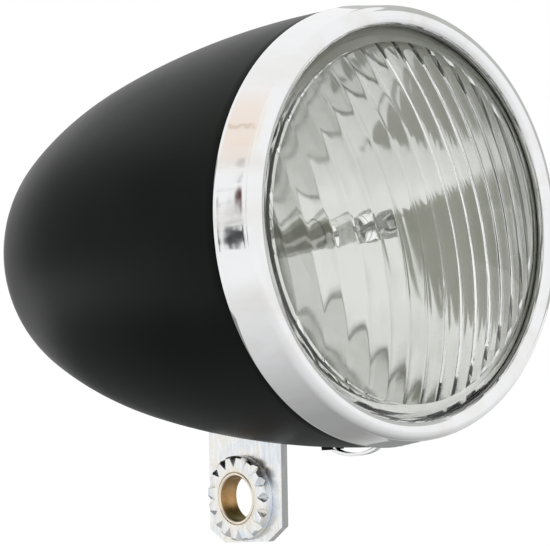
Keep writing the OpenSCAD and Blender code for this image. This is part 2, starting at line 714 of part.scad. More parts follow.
// Leaf springs behind the cells
module cell_springs() color(zinc) lamp() for (x = cell_x)
    translate([x - spring_w / 2, cells_drop, trough_end])
        rotate([90, 0, 90]) linear_extrude(spring_w) polygon([
        [-plate_half, 0], [-plate_half, -plate_t], [-spring_foot, -plate_t],
        [-spring_nose, free_gap - leaf_room], [spring_nose, free_gap - leaf_room],
        [spring_foot, -plate_t], [plate_half, -plate_t], [plate_half, 0], [spring_foot - leaf_lap, 0],
        [spring_nose - leaf_lap / 2, free_gap + plate_t - leaf_room],
        [-spring_nose + leaf_lap / 2, free_gap + plate_t - leaf_room], [-spring_foot + leaf_lap, 0]
    ]);
// Blades on the carrier's front wall that press on the board's contacts
module contact_blades() color(brass) lamp() for (side = [-1, 1])
    translate([side * pad_x - blade_w / 2, 0, 0]) rotate([90, 0, 90]) linear_extrude(blade_w) polygon([
        [wall_top + blade_foot, carrier_at], [wall_top + blade_foot, carrier_at - plate_t],
        [wall_top + plate_t / 3, carrier_at - plate_t], [wall_top - blade_reach, blade_tip],
        [wall_top - blade_reach - 2.5 * blade_curl, blade_tip + blade_curl],
        [wall_top - blade_reach - 2.5 * blade_curl, blade_tip + blade_curl + plate_t],
        [wall_top - blade_reach, blade_tip + plate_t], [wall_top, carrier_at]
    ]);

// Points along the latch's bow, from its pin end forwards or back
function bow_points(r, way) = [for (i = [-6:6])
    [bow_top - bow_arc_r + r * cos(bow_turn * i / 6), bow_mid - way * r * sin(bow_turn * i / 6)]];
// Latch: a sprung strip curled round its pin and bowed out, its tip turned in through the skin
module latch_lever() color(chrome) lamp() rotate([90, 0, 90]) translate([0, 0, -latch_w / 2]) difference() {
    union() {
        translate([latch_pin_r, latch_at, 0]) cylinder(r = eye_r, h = latch_w, $fn = 48);
        linear_extrude(latch_w) polygon(concat(
            [[strip_r, latch_at + latch_lap]],
            bow_points(bow_arc_r, 1),
            [[shell_r - latch_t / 2, tip_at], [tip_r, tip_at], [tip_r, tip_at + latch_t]],
            [[shell_r - 1.5 * latch_t, tip_at + latch_t]],
            bow_points(bow_arc_r - latch_t, -1),
            [[strip_r - latch_t, latch_at + latch_lap]]
        ));
    }
    translate([latch_pin_r, latch_at, -1]) cylinder(r = pin_r + running_gap, h = latch_w + 2, $fn = 48);
}
module latch_pin() color(zinc) lamp() translate([0, latch_pin_r, latch_at]) rotate([0, 90, 0])
    cylinder(r = pin_r, h = 2 * (yoke_x + yoke_t), center = true, $fn = 48);
// Yoke: two ears that stand through the slot, each on a wing welded under the skin
module latch_yoke() color(paint) lamp() difference() {
    for (side = [-1, 1]) {
        top = skin_at(latch_at + ear_len / 2, shell_wall) - seat_gap;
        start = asin((yoke_x + yoke_t / 2) / top);
        turn = asin((yoke_x + yoke_t + wing_w) / top) - start;
        rotate([0, 0, 90 + (side > 0 ? -start - turn : start)]) rotate_extrude(angle = turn)
            translate([top - yoke_t, latch_at - ear_len / 2]) square([yoke_t, ear_len]);
        translate([side * (yoke_x + yoke_t / 2) - yoke_t / 2, latch_pin_r - ear_root, latch_at - ear_len / 2])
            cube([yoke_t, ear_root + pin_depth + ear_up, ear_len]);
    }
    translate([0, latch_pin_r, latch_at]) rotate([0, 90, 0])
        cylinder(r = pin_r + running_gap, h = 2 * ear_len + 4 * yoke_x, center = true, $fn = 48);
}

// Switch: snapped in from inside, its collar flush with the skin
module switch_body() color(plastic) difference() {
    union() {
        intersection() {
            at_switch() translate([0, 0, -body_len]) cylinder(r = body_r, h = 2 * body_len);
            shell_fill(shell_wall + seat_gap);
        }
        intersection() {
            at_switch() translate([0, 0, -body_len / 2]) cylinder(r = collar_r, h = body_len);
            shell_fill(-0.1);
        }
    }
    at_switch() translate([0, 0, stem_floor - body_len])
        cylinder(r = button_r + running_gap, h = 2 * body_len);
}
module switch_button() color(rubber) intersection() {
    at_switch() translate([0, 0, -button_in]) cylinder(r = button_r, h = 2 * button_in);
    shell_fill(-button_proud);
}
module switch_terminals() color(brass) at_switch() for (side = [-1, 1])
    translate([side * terminal_at - terminal_w / 2, -plate_t / 2, -body_len - terminal_drop])
        cube([terminal_w, plate_t, terminal_drop]);
// Two leads from the switch: one to the last cell's spring, one to the second blade
module switch_leads() color([0.6, 0.1, 0.1]) lamp() {
    start = switch_c - (body_len + terminal_drop + wire_out_r + seat_gap) * dir(switch_turn);
    end_y = wall_top - wire_out_r - seat_gap;
    lead([terminal_at, -start.x, start.y], [cell_x[2], end_y, trough_end + carrier_wall / 2], lead_sag);
    lead([-terminal_at, -start.x, start.y], [pad_x, end_y, carrier_at + carrier_wall / 2], -lead_sag);
}
// One lead from a to b, bent in a single arc that sags downwards
module lead(a, b, sag) {
    half = norm(b - a) / 2;
    arc_r = (half * half + sag * sag) / (2 * abs(sag));
    along = (b - a) / (2 * half);
    drop = [0, 1, 0] - along.y * along;
    across = cross(along, drop / norm(drop));
    centre = (a + b) / 2 - sign(sag) * (arc_r - abs(sag)) * cross(across, along);
    tilt = acos(across.z);
    turn = atan2(across.y, across.x);
    ex = [cos(tilt) * cos(turn), cos(tilt) * sin(turn), -sin(tilt)];
    ey = [-sin(turn), cos(turn), 0];
    sweep = 2 * asin(half / arc_r);
    first = sag > 0 ? b - centre : a - centre;
    translate(centre) rotate([0, tilt, turn]) rotate([0, 0, atan2(first * ey, first * ex)])
        rotate_extrude(angle = sweep) translate([arc_r, 0]) circle(wire_out_r, $fn = 32);
}

housing_shell();
bracket_tab();
bracket_rivets();
rosette();
pivot_bush();
bezel_ring();
bezel_hook();
bezel_catch();
lens();
lens_seal();
reflector();
retaining_ring();
led();
led_lead_frame();
led_sleeve();
lamp_board();
board_screws();
resistor();
board_contacts();
battery_carrier();
carrier_screws();
battery_cells();
cell_plates();
cell_springs();
contact_blades();
latch_lever();
latch_pin();
latch_yoke();
switch_body();
switch_button();
switch_terminals();
switch_leads();
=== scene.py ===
import json
import math

import bpy
from mathutils import Matrix, Quaternion, Vector


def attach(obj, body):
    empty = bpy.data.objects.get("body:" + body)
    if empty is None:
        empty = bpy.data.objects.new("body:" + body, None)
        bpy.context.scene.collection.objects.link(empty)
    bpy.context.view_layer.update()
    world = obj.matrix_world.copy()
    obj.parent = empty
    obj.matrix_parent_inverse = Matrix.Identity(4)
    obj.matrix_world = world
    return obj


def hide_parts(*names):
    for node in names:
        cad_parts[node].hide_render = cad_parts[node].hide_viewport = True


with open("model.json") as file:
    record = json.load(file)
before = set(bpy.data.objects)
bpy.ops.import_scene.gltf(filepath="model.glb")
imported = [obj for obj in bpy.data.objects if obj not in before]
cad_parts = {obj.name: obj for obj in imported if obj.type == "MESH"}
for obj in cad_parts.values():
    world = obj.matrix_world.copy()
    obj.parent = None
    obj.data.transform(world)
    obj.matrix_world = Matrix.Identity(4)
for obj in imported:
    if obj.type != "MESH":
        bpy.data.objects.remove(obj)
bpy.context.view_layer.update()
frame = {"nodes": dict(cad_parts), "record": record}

MM = 0.001
TAU = 2 * math.pi

# Sizes that the pieces share with the source, in millimetres and degrees. The bore's centre is the origin:
# the lamp's axis runs AXIS_H above it, and the bezel's rear edge stands BORE_BACK in front of it.
AXIS_H, BORE_BACK = 48.0015, 40.0
SEAT_GAP, FREE_GAP = 0.05, 0.3
SHELL_R, SHELL_WALL, BEZEL_GAP = 39.8, 1.0, 0.4
FLANK_R, FLANK_TURN, SHOULDER_R, SHOULDER_TURN = 217.0, 14.0, 110.0, 26.6
NECK_R, NECK_LEN = 38.6, 1.6
BEZEL_R, BEZEL_DEPTH, BEZEL_TAPER, BEZEL_WALL, BEAD_R = 40.0, 9.2, 0.9, 0.7, 1.9
DOME_RISE, LENS_T, LENS_FLANGE_T, LENS_RIM_T, LENS_TURN = 10.6, 3.0, 1.4, 2.0, 11.0
FLUTES, FLUTE_PITCH, FLUTE_R, FLUTE_ZONE_R = 17, 4.2, 9.0, 32.0
SEAL_ROOM = 0.8
BOWL_R, BOWL_DEPTH, BOWL_WALL, RIM_T, COLLAR_R, COLLAR_LEN = 32.0, 18.6, 1.2, 0.9, 4.4, 2
BOSS_X, BOSS_R, TAPPED_R, TAPPED_BACK, COATED_R = 11, 2.2, 0.95, 15.65, 31.0
BORE_R, BUSH_WALL, FLANGE_R, FLANGE_T = 4.2, 0.7, 6.6, 0.7
ROSETTE_R, ROSETTE_T, TEETH, TOOTH_DEPTH = 8.0, 2.1, 16, 1.1
TAB_T, TAB_LEAN, TAB_FRONT = 1.5, 5.0, 10.42
LED_R, LED_FLANGE_R, LED_FLANGE_T, LED_LEN, LED_TIP_BACK, LEAD_X = 2.5, 2.9, 1.0, 8.6, 0.7, 1.27
SLEEVE_R, SLEEVE_WAIST_R, LEAD_HOLE_R = 2.86, 2.7, 0.44
SWITCH_TURN, BUTTON_R, SWITCH_COLLAR = 20.0, 4.1, 2.0
SCREWS_BACK, SCREW_HEAD_R, SCREW_R, SCREW_HEAD_T = (24.93, 52.5), 2.75, 1.45, 1.3
LATCH_W, LATCH_T, LATCH_BACK, LATCH_FRONT, TIP_BACK = 1.4, 0.6, 15.8, 4.4, 3.1
PIN_R, PIN_DEPTH, BOW_GAP = 0.6, 1.0, 1.05

BEAD_AT = (BEZEL_R - BEZEL_TAPER - BEAD_R, BEAD_R - BEZEL_DEPTH)
LIP_R = BEAD_AT[0] - BEAD_R
LENS_FRONT = BEAD_AT[1] + FREE_GAP + SEAT_GAP
LENS_BACK = LENS_FRONT + LENS_FLANGE_T
RIM_FRONT = LENS_BACK + SEAL_ROOM
STACK_R = BEZEL_R - BEZEL_WALL + BEZEL_TAPER * LENS_FRONT / (BEZEL_DEPTH - BEAD_R) - FREE_GAP
LENS_R = LIP_R - FREE_GAP
DOME_R = (LENS_R ** 2 + DOME_RISE ** 2) / (2 * DOME_RISE)
DOME_BACK = LENS_FRONT - DOME_RISE + DOME_R
FOCAL = BOWL_R ** 2 / (4 * BOWL_DEPTH)
BOWL_BOTTOM = RIM_FRONT + BOWL_DEPTH
BOARD_FRONT = BOWL_BOTTOM + COLLAR_LEN
BOWL_END = BOARD_FRONT - SEAT_GAP


def fan(angle, steps):
    """The angles from 0 to an angle in even steps."""
    return [angle * i / steps for i in range(steps + 1)]


def turned(r, angle):
    """The two legs of a radius turned by an angle in degrees."""
    return r * math.cos(math.radians(angle)), r * math.sin(math.radians(angle))


# ---------------------------------------------------------------- finishes


class Val:
    """A number or colour on its way through a material's nodes."""

    def __init__(self, finish, socket):
        self.finish, self.socket = finish, socket

    def maths(self, operation, a, b):
        return self.finish.add("ShaderNodeMath", {"operation": operation}, {0: a, 1: b}).out()

    def __add__(self, other):
        return self.maths("ADD", self, other)

    __radd__ = __add__

    def __sub__(self, other):
        return self.maths("SUBTRACT", self, other)

    def __rsub__(self, other):
        return self.maths("SUBTRACT", other, self)

    def __mul__(self, other):
        return self.maths("MULTIPLY", self, other)

    __rmul__ = __mul__

    def __gt__(self, other):
        return self.maths("GREATER_THAN", self, other)

    def __lt__(self, other):
        return self.maths("LESS_THAN", self, other)


class Placed:
    """A node in a finish, whose outputs are picked by name or number."""

    def __init__(self, finish, node):
        self.finish, self.node = finish, node

    def out(self, name=0):
        return Val(self.finish, self.node.outputs[name])


class Finish:
    """One material: a Principled surface and the nodes that vary it."""

    def __init__(self, name, color, roughness, metallic=0.0, **sockets):
        self.material = bpy.data.materials.new(name)
        self.material.use_nodes = True
        self.tree = self.material.node_tree
        self.surface = self.tree.nodes["Principled BSDF"]
        self.vary(**{"Base Color": (*color, 1.0), "Roughness": roughness, "Metallic": metallic})
        self.vary(**{key.replace("_", " "): value for key, value in sockets.items()})
        self.place = self.add("ShaderNodeTexCoord").out("Object")

    def add(self, kind, settings=(), inputs=()):
        """Makes a node; its settings are its options, its inputs are numbers, colours or other nodes' values."""
        node = self.tree.nodes.new(kind)
        for key, value in dict(settings).items():
            if key == "stops":
                for i, (at, color) in enumerate(value):
                    stop = node.color_ramp.elements[i] if i < 2 else node.color_ramp.elements.new(at)
                    stop.position, stop.color = at, (*color, 1.0)
            else:
                setattr(node, key, value)
        for key, value in dict(inputs).items():
            self.feed(node.inputs[key], value)
        return Placed(self, node)

    def feed(self, socket, value):
        if isinstance(value, Val):
            self.tree.links.new(value.socket, socket)
        else:
            socket.default_value = value

    def vary(self, **sockets):
        for key, value in sockets.items():
            self.feed(self.surface.inputs[key], value)
        return self

    def mapped(self, scale=(1, 1, 1), turn=(0, 0, 0), shift=(0, 0, 0)):
        return self.add("ShaderNodeMapping", {}, {
            "Vector": self.place, "Scale": scale, "Rotation": turn, "Location": shift}).out()

    def noise(self, scale, detail=3.0, place=None, distortion=0.0):
        return self.add("ShaderNodeTexNoise", {}, {
            "Vector": place or self.place, "Scale": scale, "Detail": detail, "Distortion": distortion}).out()

    def cells(self, scale):
        return self.add("ShaderNodeTexVoronoi", {}, {"Vector": self.place, "Scale": scale}).out()

    def waves(self, scale, distortion=0.0, place=None):
        """Bands along X; the node's output 1 is their factor."""
        return self.add("ShaderNodeTexWave", {}, {
            "Vector": place or self.place, "Scale": scale, "Distortion": distortion}).out(1)

    def between(self, value, low, high, to_low=0.0, to_high=1.0):
        """Runs from one level to another while the value runs from low to high."""
        return self.add("ShaderNodeMapRange", {"clamp": True}, {
            "Value": value, "From Min": low, "From Max": high, "To Min": to_low, "To Max": to_high}).out()

    def mixed(self, a, b, factor):
        """Mixes two colours; 6 and 7 are the node's colour inputs and 2 is its colour output."""
        a, b = [(*c, 1.0) if isinstance(c, tuple) and len(c) == 3 else c for c in (a, b)]
        return self.add("ShaderNodeMix", {"data_type": "RGBA"}, {0: factor, 6: a, 7: b}).out(2)

    def ramp(self, value, stops):
        return self.add("ShaderNodeValToRGB", {"stops": stops}, {"Fac": value}).out(0)

    def bumped(self, height, strength, distance):
        bump = self.add("ShaderNodeBump", {}, {"Height": height, "Strength": strength, "Distance": distance})
        return self.vary(Normal=bump.out())

    def axis(self, name):
        return self.add("ShaderNodeSeparateXYZ", {}, {0: self.place}).out(name)


def black_paint():
    f = Finish("black_paint", (0.006, 0.0066, 0.0068), 0.42,
               Specular_IOR_Level=0.09, Specular_Tint=(0.88, 1.0, 0.93, 1.0))
    cloud = f.noise(55, 4)
    dust = f.between(f.noise(2600, 2), 0.66, 0.74)
    paint = f.mixed((0.0018, 0.0028, 0.0023), (0.004, 0.0054, 0.0047), f.between(cloud, 0.35, 0.65))
    f.vary(**{"Base Color": paint, "Roughness": f.between(cloud, 0.3, 0.7, 0.33, 0.39) + dust * 0.12})
    return f.bumped(f.noise(1500, 2), 0.05, 0.00006)


def chrome():
    f = Finish("chrome_plate", (0.86, 0.865, 0.87), 0.05, 1.0)
    smear = f.noise(130, 5, f.mapped((1, 0.35, 1)), distortion=0.6)
    scratch = f.between(f.noise(900, 2, f.mapped((1, 0.02, 1), (0.2, 0.4, 0.3))), 0.62, 0.68)
    f.vary(**{"Base Color": f.mixed((0.87, 0.875, 0.885), (0.8, 0.79, 0.765), f.between(smear, 0.45, 0.75)),
              "Roughness": f.between(smear, 0.35, 0.75, 0.035, 0.12) + scratch * 0.05})
    return f.bumped(f.noise(160, 2) + scratch * 0.02, 0.10, 0.0004)


def zinc_plate():
    """Passivated zinc, with a painted warm highlight on the rosette round the bush and painted grey shade on the
    tab's front edge.
    """
    f = Finish("zinc_plate", (0.8, 0.82, 0.84), 0.22, 1.0)
    tint = f.noise(260, 3, distortion=1.0)
    grain = f.noise(2200, 3, f.mapped((1, 1, 0.15)))
    y, z = f.axis("Y"), f.axis("Z")
    highlight_in, highlight_out, tooth_tops = 0.0050, 0.0064, -0.0026
    # Painted highlight: warm cream on the rosette's face in a ring round the bush.
    painted_warm_highlight = f.between(y * y + z * z, highlight_in ** 2, highlight_out ** 2, 0.7, 0.0) * (f.axis("X") < tooth_tops)
    # Painted shade: a flat grey on the tab's front edge.
    painted_edge_shade = (y + z * math.tan(math.radians(TAB_LEAN))) < -TAB_FRONT * MM
    passivated = f.ramp(tint, [
        (0.30, (0.82, 0.87, 0.93)), (0.44, (0.9, 0.92, 0.94)), (0.52, (0.94, 0.94, 0.93)),
        (0.60, (0.94, 0.92, 0.85)), (0.72, (0.9, 0.85, 0.91))])
    plated = f.mixed(passivated, (0.95, 0.87, 0.74), painted_warm_highlight)
    f.vary(**{"Base Color": f.mixed(plated, (0.37, 0.375, 0.375), painted_edge_shade),
              "Roughness": f.between(grain, 0.3, 0.7, 0.2, 0.38)})
    return f.bumped(grain, 0.08, 0.0001)


def turned_brass():
    """Turned brass, brown in the bore with olive in its lower half, with a painted pale highlight on the end beside
    the teeth.
    """
    f = Finish("turned_brass", (0.5, 0.34, 0.14), 0.28, 1.0)
    rings = f.waves(900, 0.8)
    stain = f.noise(420, 4)
    olive_from, olive_full, end_face = -0.0002, -0.0026, -0.0027
    low = f.between(f.axis("Z") + stain * 0.002, olive_from, olive_full, 0.0, 0.85)
    wall = f.ramp(stain, [(0.35, (0.30, 0.17, 0.06)), (0.55, (0.5, 0.30, 0.13)), (0.75, (0.6, 0.42, 0.22))])
    wall = f.mixed(wall, (0.17, 0.135, 0.012), low)
    # Painted highlight: pale cream on the end beside the teeth.
    f.vary(**{"Base Color": f.mixed(wall, (0.93, 0.84, 0.7), f.axis("X") < end_face),
              "Roughness": f.between(stain, 0.3, 0.7, 0.22, 0.4)})
    return f.bumped(rings, 0.12, 0.00005)


def clear_glass():
    f = Finish("clear_glass", (0.985, 0.992, 0.985), 0.0, 0.0, Transmission_Weight=1.0, IOR=1.5)
    seed = f.noise(95, 3)
    f.vary(**{"Base Color": f.mixed((0.975, 0.985, 0.97), (0.995, 0.998, 0.99), f.between(seed, 0.4, 0.6)),
              "Roughness": f.between(f.noise(300, 4), 0.5, 0.8, 0.0, 0.03)})
    return f.bumped(f.noise(120, 2), 0.16, 0.0006)


def mirror_coat():
    """The bowl's bright coat, which gives way to a matt olive on the rim at its top and right."""
    f = Finish("mirror_coat", (0.84, 0.845, 0.84), 0.06, 1.0)
    haze = f.noise(70, 4)
    x, z, fade = f.axis("X"), f.axis("Z") - AXIS_H * MM, 0.012
    bare = ((x * x + z * z) > (COATED_R * MM) ** 2) * f.between(x + z, -fade, fade)
    coat = f.mixed((0.755, 0.76, 0.74), (0.66, 0.665, 0.635), f.between(haze, 0.45, 0.75))
    f.vary(**{"Base Color": f.mixed(coat, (0.40, 0.41, 0.33), bare), "Metallic": 1.0 - bare,
              "Roughness": f.between(haze, 0.3, 0.8, 0.06, 0.16) + bare * 0.3})
    return f.bumped(f.noise(60, 2), 0.10, 0.0012)


def clear_resin():
    f = Finish("clear_resin", (0.96, 0.98, 0.97), 0.04, 0.0, Transmission_Weight=1.0, IOR=1.53)
    f.vary(Roughness=f.between(f.noise(700, 3), 0.4, 0.8, 0.02, 0.12))
    return f.bumped(f.noise(500, 2), 0.06, 0.0002)


def moulded(name, color, rough, grain=1400):
    """A matt moulded plastic or rubber, of one colour that wears a little darker in places."""
    f = Finish(name, color, rough)
    darker = tuple(c * 0.82 for c in color)
    f.vary(**{"Base Color": f.mixed(darker, color, f.between(f.noise(90, 3), 0.35, 0.65)),
              "Roughness": f.between(f.noise(grain, 2), 0.3, 0.7, rough - 0.06, rough + 0.08)})
    return f.bumped(f.cells(grain), 0.12, 0.00005)


def flashed_nylon():
    """Nylon flashed with metal under a clear coat, duller below, with a painted highlight along its top."""
    f = Finish("flashed_nylon", (0.5, 0.5, 0.47), 0.18, 0.9, IOR=1.53, Coat_Roughness=0.05)
    cloud = f.noise(420, 3)
    above, line_low, line_high, fade = f.axis("Z") - AXIS_H * MM, 0.0007, 0.0021, 0.0004
    dull = f.mixed((0.5, 0.51, 0.47), (0.58, 0.59, 0.55), f.between(cloud, 0.35, 0.65))
    # Painted highlight: a near-white line along the top of the sleeve.
    painted_highlight = f.between(above, line_low, line_low + fade) * (1 - f.between(above, line_high, line_high + fade))
    f.vary(**{"Base Color": f.mixed(dull, (0.98, 0.98, 0.97), painted_highlight),
              "Roughness": f.between(cloud, 0.3, 0.7, 0.14, 0.26),
              "Coat Weight": f.between(cloud, 0.3, 0.7, 0.5, 0.8)})
    return f.bumped(f.noise(900, 2), 0.08, 0.00008)


def bright_steel(name="bright_steel", color=(0.62, 0.63, 0.64)):
    f = Finish(name, color, 0.25, 1.0)
    grain = f.noise(1800, 3, f.mapped((1, 0.08, 1)))
    f.vary(**{"Base Color": f.mixed(tuple(c * 0.85 for c in color), color, f.between(f.noise(300, 3), 0.4, 0.6)),
              "Roughness": f.between(grain, 0.3, 0.7, 0.18, 0.36)})
    return f.bumped(grain, 0.06, 0.00004)


def bright_brass():
    f = Finish("bright_brass", (0.78, 0.6, 0.3), 0.25, 1.0)
    stain = f.noise(350, 3)
    f.vary(**{"Base Color": f.mixed((0.66, 0.47, 0.2), (0.82, 0.65, 0.34), f.between(stain, 0.35, 0.6)),
              "Roughness": f.between(stain, 0.3, 0.7, 0.18, 0.34)})
    return f.bumped(f.noise(1500, 2), 0.06, 0.00004)


def board_mask():
    """The board's green mask, raised a little over its tracks."""
    f = Finish("board_mask", (0.02, 0.13, 0.06), 0.35)
    lift = f.between(f.waves(130, 1.2, f.mapped(turn=(0, 0.785, 0))), 0.78, 0.84)
    f.vary(**{"Base Color": f.mixed((0.014, 0.09, 0.04), (0.03, 0.19, 0.09), lift),
              "Roughness": 0.3 + f.noise(900, 2) * 0.1})
    return f.bumped(lift, 0.25, 0.00006)


def ceramic_band():
    """The resistor's tan body with its dark rings."""
    f = Finish("lacquered_ceramic", (0.62, 0.48, 0.3), 0.3)
    x, ringed = f.axis("X"), 0.0022
    bands = (f.waves(150) > 0.72) * (x > -ringed) * (x < ringed)
    f.vary(**{"Base Color": f.mixed((0.64, 0.5, 0.32), (0.22, 0.06, 0.03), bands)})
    return f.bumped(f.noise(1200, 2), 0.08, 0.00005)


def cell_sleeve():
    """A cell's dark jacket, with a copper collar at one end."""
    f = Finish("cell_sleeve", (0.08, 0.09, 0.11), 0.22, 0.6, Coat_Weight=0.4)
    collar = f.between(f.axis("Y"), 0.019, 0.0194)
    f.vary(**{"Base Color": f.mixed((0.05, 0.055, 0.07), (0.45, 0.25, 0.1), collar),
              "Roughness": f.between(f.noise(500, 3), 0.3, 0.7, 0.18, 0.3)})
    return f.bumped(f.noise(700, 2), 0.05, 0.00006)


FINISHES = {
    "black_paint": black_paint(), "zinc": zinc_plate(), "brass": turned_brass(), "chrome": chrome(),
    "lens_glass": clear_glass(), "black_rubber": moulded("black_rubber", (0.02, 0.02, 0.021), 0.6),
    "mirror_coat": mirror_coat(), "spring_steel": bright_steel(), "led_epoxy": clear_resin(),
    "tinned_steel": bright_steel("tinned_steel", (0.68, 0.68, 0.66)), "white_nylon": flashed_nylon(),
    "green_board": board_mask(), "tan_ceramic": ceramic_band(), "gilt_brass": bright_brass(),
    "black_plastic": moulded("black_plastic", (0.022, 0.022, 0.024), 0.5, 1100), "cell_jacket": cell_sleeve(),
    "red_insulation": moulded("red_insulation", (0.36, 0.02, 0.015), 0.4, 800),
}
SLOT_OF = {row["node"]: row["material_slot"] for row in frame["record"]["subparts"]}


# ---------------------------------------------------------------- modelling by hand


def deselect():
    if bpy.context.object and bpy.context.object.mode != "OBJECT":
        bpy.ops.object.mode_set(mode="OBJECT")
    bpy.ops.object.select_all(action="DESELECT")


def pick(piece):
    deselect()
    piece.select_set(True)
    bpy.context.view_layer.objects.active = piece


def edit(piece):
    pick(piece)
    bpy.ops.object.mode_set(mode="EDIT")
    bpy.ops.mesh.select_mode(type="VERT")
    bpy.ops.mesh.select_all(action="SELECT")


def tidy(piece, merge=2e-6):
    """Merges points that lie together and turns the faces outwards."""
    edit(piece)
    bpy.ops.mesh.remove_doubles(threshold=merge)
    bpy.ops.mesh.normals_make_consistent(inside=False)
    bpy.ops.object.mode_set(mode="OBJECT")


def lamp_point(r, s):
    """A point above the lamp's axis, by its radius and its distance behind the bezel's rear edge."""
    return Vector((0, (s - BORE_BACK) * MM, (AXIS_H + r) * MM))


def bore_point(r, x):
    """A point above the bore's axis, by its radius and its distance to the right."""
    return Vector((x * MM, 0, r * MM))


def outline(name, points):
    """Draws a chain of edges through points, closed back to its start where the last point repeats the first."""
    deselect()
    bpy.ops.mesh.primitive_plane_add(size=0.0005, location=points[0])
    piece = bpy.context.object
    piece.name = name
    edit(piece)
    bpy.ops.mesh.merge(type="CENTER")
    for a, b in zip(points, points[1:]):
        bpy.ops.mesh.extrude_vertices_move(TRANSFORM_OT_translate={"value": b - a})
    bpy.ops.mesh.select_all(action="SELECT")
    bpy.ops.mesh.remove_doubles(threshold=1e-7)
    bpy.ops.object.mode_set(mode="OBJECT")
    settle(piece)
    return piece


def settle(piece):
    """Puts a piece's place, turn and size into its mesh."""
    pick(piece)
    bpy.ops.object.transform_apply(location=True, rotation=True, scale=True)


def filled(piece, push=None):
    """Closes a drawn outline with a face and, where asked, pushes that out into a solid."""
    edit(piece)
    bpy.ops.mesh.edge_face_add()
    if push:
        bpy.ops.mesh.extrude_region_move(TRANSFORM_OT_translate={"value": push})
    bpy.ops.object.mode_set(mode="OBJECT")


def swung(piece, centre, axis, angle):
    """Swings a piece about an axis through a centre, right-handed."""
    swing = Quaternion(axis, angle)
    piece.rotation_euler = swing.to_euler()
    piece.location = Vector(centre) - swing @ Vector(centre)
    settle(piece)


def spun(piece, centre, axis, steps, angle=TAU):
    """Turns a drawn outline about an axis, right-handed; the spin itself counts the other way."""
    edit(piece)
    bpy.ops.mesh.spin(steps=steps, angle=-angle, center=centre, axis=axis)
    bpy.ops.object.mode_set(mode="OBJECT")
    tidy(piece)
    return piece


def lathe(name, profile, steps):
    """Turns a profile of (radius, distance back) about the lamp's axis."""
    points = [lamp_point(r, s) for r, s in profile]
    return spun(outline(name, points), lamp_point(0, 0), (0, 1, 0), steps)


def bore_lathe(name, profile, steps):
    """Turns a profile of (radius, distance to the right) about the bore's axis."""
    points = [bore_point(r, x) for r, x in profile]
    return spun(outline(name, points), (0, 0, 0), (1, 0, 0), steps)


def cube(name, low, high):
    """A block cutter between two corners."""
    deselect()
    middle = [(a + b) / 2 * MM for a, b in zip(low, high)]
    bpy.ops.mesh.primitive_cube_add(size=1, location=middle)
    piece = bpy.context.object
    piece.name = name
    piece.scale = [(b - a) * MM for a, b in zip(low, high)]
    settle(piece)
    return piece


def rod(name, centre, direction, r, length, steps=48):
    """A cylinder cutter or pin, centred, along a direction."""
    deselect()
    turn = Vector((0, 0, 1)).rotation_difference(Vector(direction)).to_euler()
    bpy.ops.mesh.primitive_cylinder_add(vertices=steps, radius=r * MM, depth=length * MM,
                                        location=[c * MM for c in centre], rotation=turn)
    piece = bpy.context.object
    piece.name = name
    settle(piece)
    return piece


def axial_rod(name, x, back, r, length, steps):
    """A rod along the lamp's axis, x to the side of it, with its middle at a distance back."""
    return rod(name, (x, back - BORE_BACK, AXIS_H), (0, 1, 0), r, length, steps)


def countersink(name, mouth, wide, narrow, depth):
    """A cone that opens downwards at its mouth, with its stem and a little more below."""
    deselect()
    x, y, z = mouth
    bpy.ops.mesh.primitive_cone_add(vertices=48, radius1=wide * MM, radius2=narrow * MM, depth=depth * MM,
                                    location=[x * MM, y * MM, (z + depth / 2) * MM])
    piece = bpy.context.object
    piece.name = name
    settle(piece)
    stem_len, below_len, overlap = 4, 2, 0.1
    carve(piece, rod("stem", (x, y, z + depth + stem_len / 2 - overlap), (0, 0, 1), narrow, stem_len), "UNION")
    carve(piece, rod("below", (x, y, z - below_len / 2 + overlap), (0, 0, 1), wide, below_len), "UNION")
    return piece


def carve(piece, tool, operation="DIFFERENCE"):
    """Cuts a tool out of a piece, or adds or keeps it, and throws the tool away."""
    pick(piece)
    cut = piece.modifiers.new("cut", "BOOLEAN")
    cut.operation, cut.object, cut.solver = operation, tool, "EXACT"
    bpy.ops.object.modifier_apply(modifier=cut.name)
    bpy.data.objects.remove(tool)


def bevelled(piece, width, segments, angle):
    bevel = piece.modifiers.new("eased", "BEVEL")
    bevel.width, bevel.segments = width * MM, segments
    bevel.limit_method, bevel.angle_limit = "ANGLE", math.radians(angle)
    return bevel


def eased(piece, width, segments, angle):
    """Rounds the edges of a piece that are sharper than an angle, by a small bevel."""
    pick(piece)
    bpy.ops.object.modifier_apply(modifier=bevelled(piece, width, segments, angle).name)


def smooth(piece, angle):
    """Shades a piece smoothly except over edges sharper than an angle."""
    pick(piece)
    bpy.ops.object.shade_smooth_by_angle(angle=math.radians(angle))


def dress(piece, body, slot, *nodes):
    """Gives a finished piece its finish, its body and the nodes that it stands for."""
    settle(piece)
    piece.data.materials.clear()
    piece.data.materials.append(FINISHES[slot].material)
    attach(piece, body)
    if nodes:
        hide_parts(*nodes)
    return piece


# ---------------------------------------------------------------- shell


def shoulder_centre():
    """The centre of the shell's shoulder arc, as (radius, distance back)."""
    end, turn = turned(FLANK_R, FLANK_TURN), turned(SHOULDER_R, FLANK_TURN)
    return SHELL_R - FLANK_R + end[0] - turn[0], end[1] - turn[1]


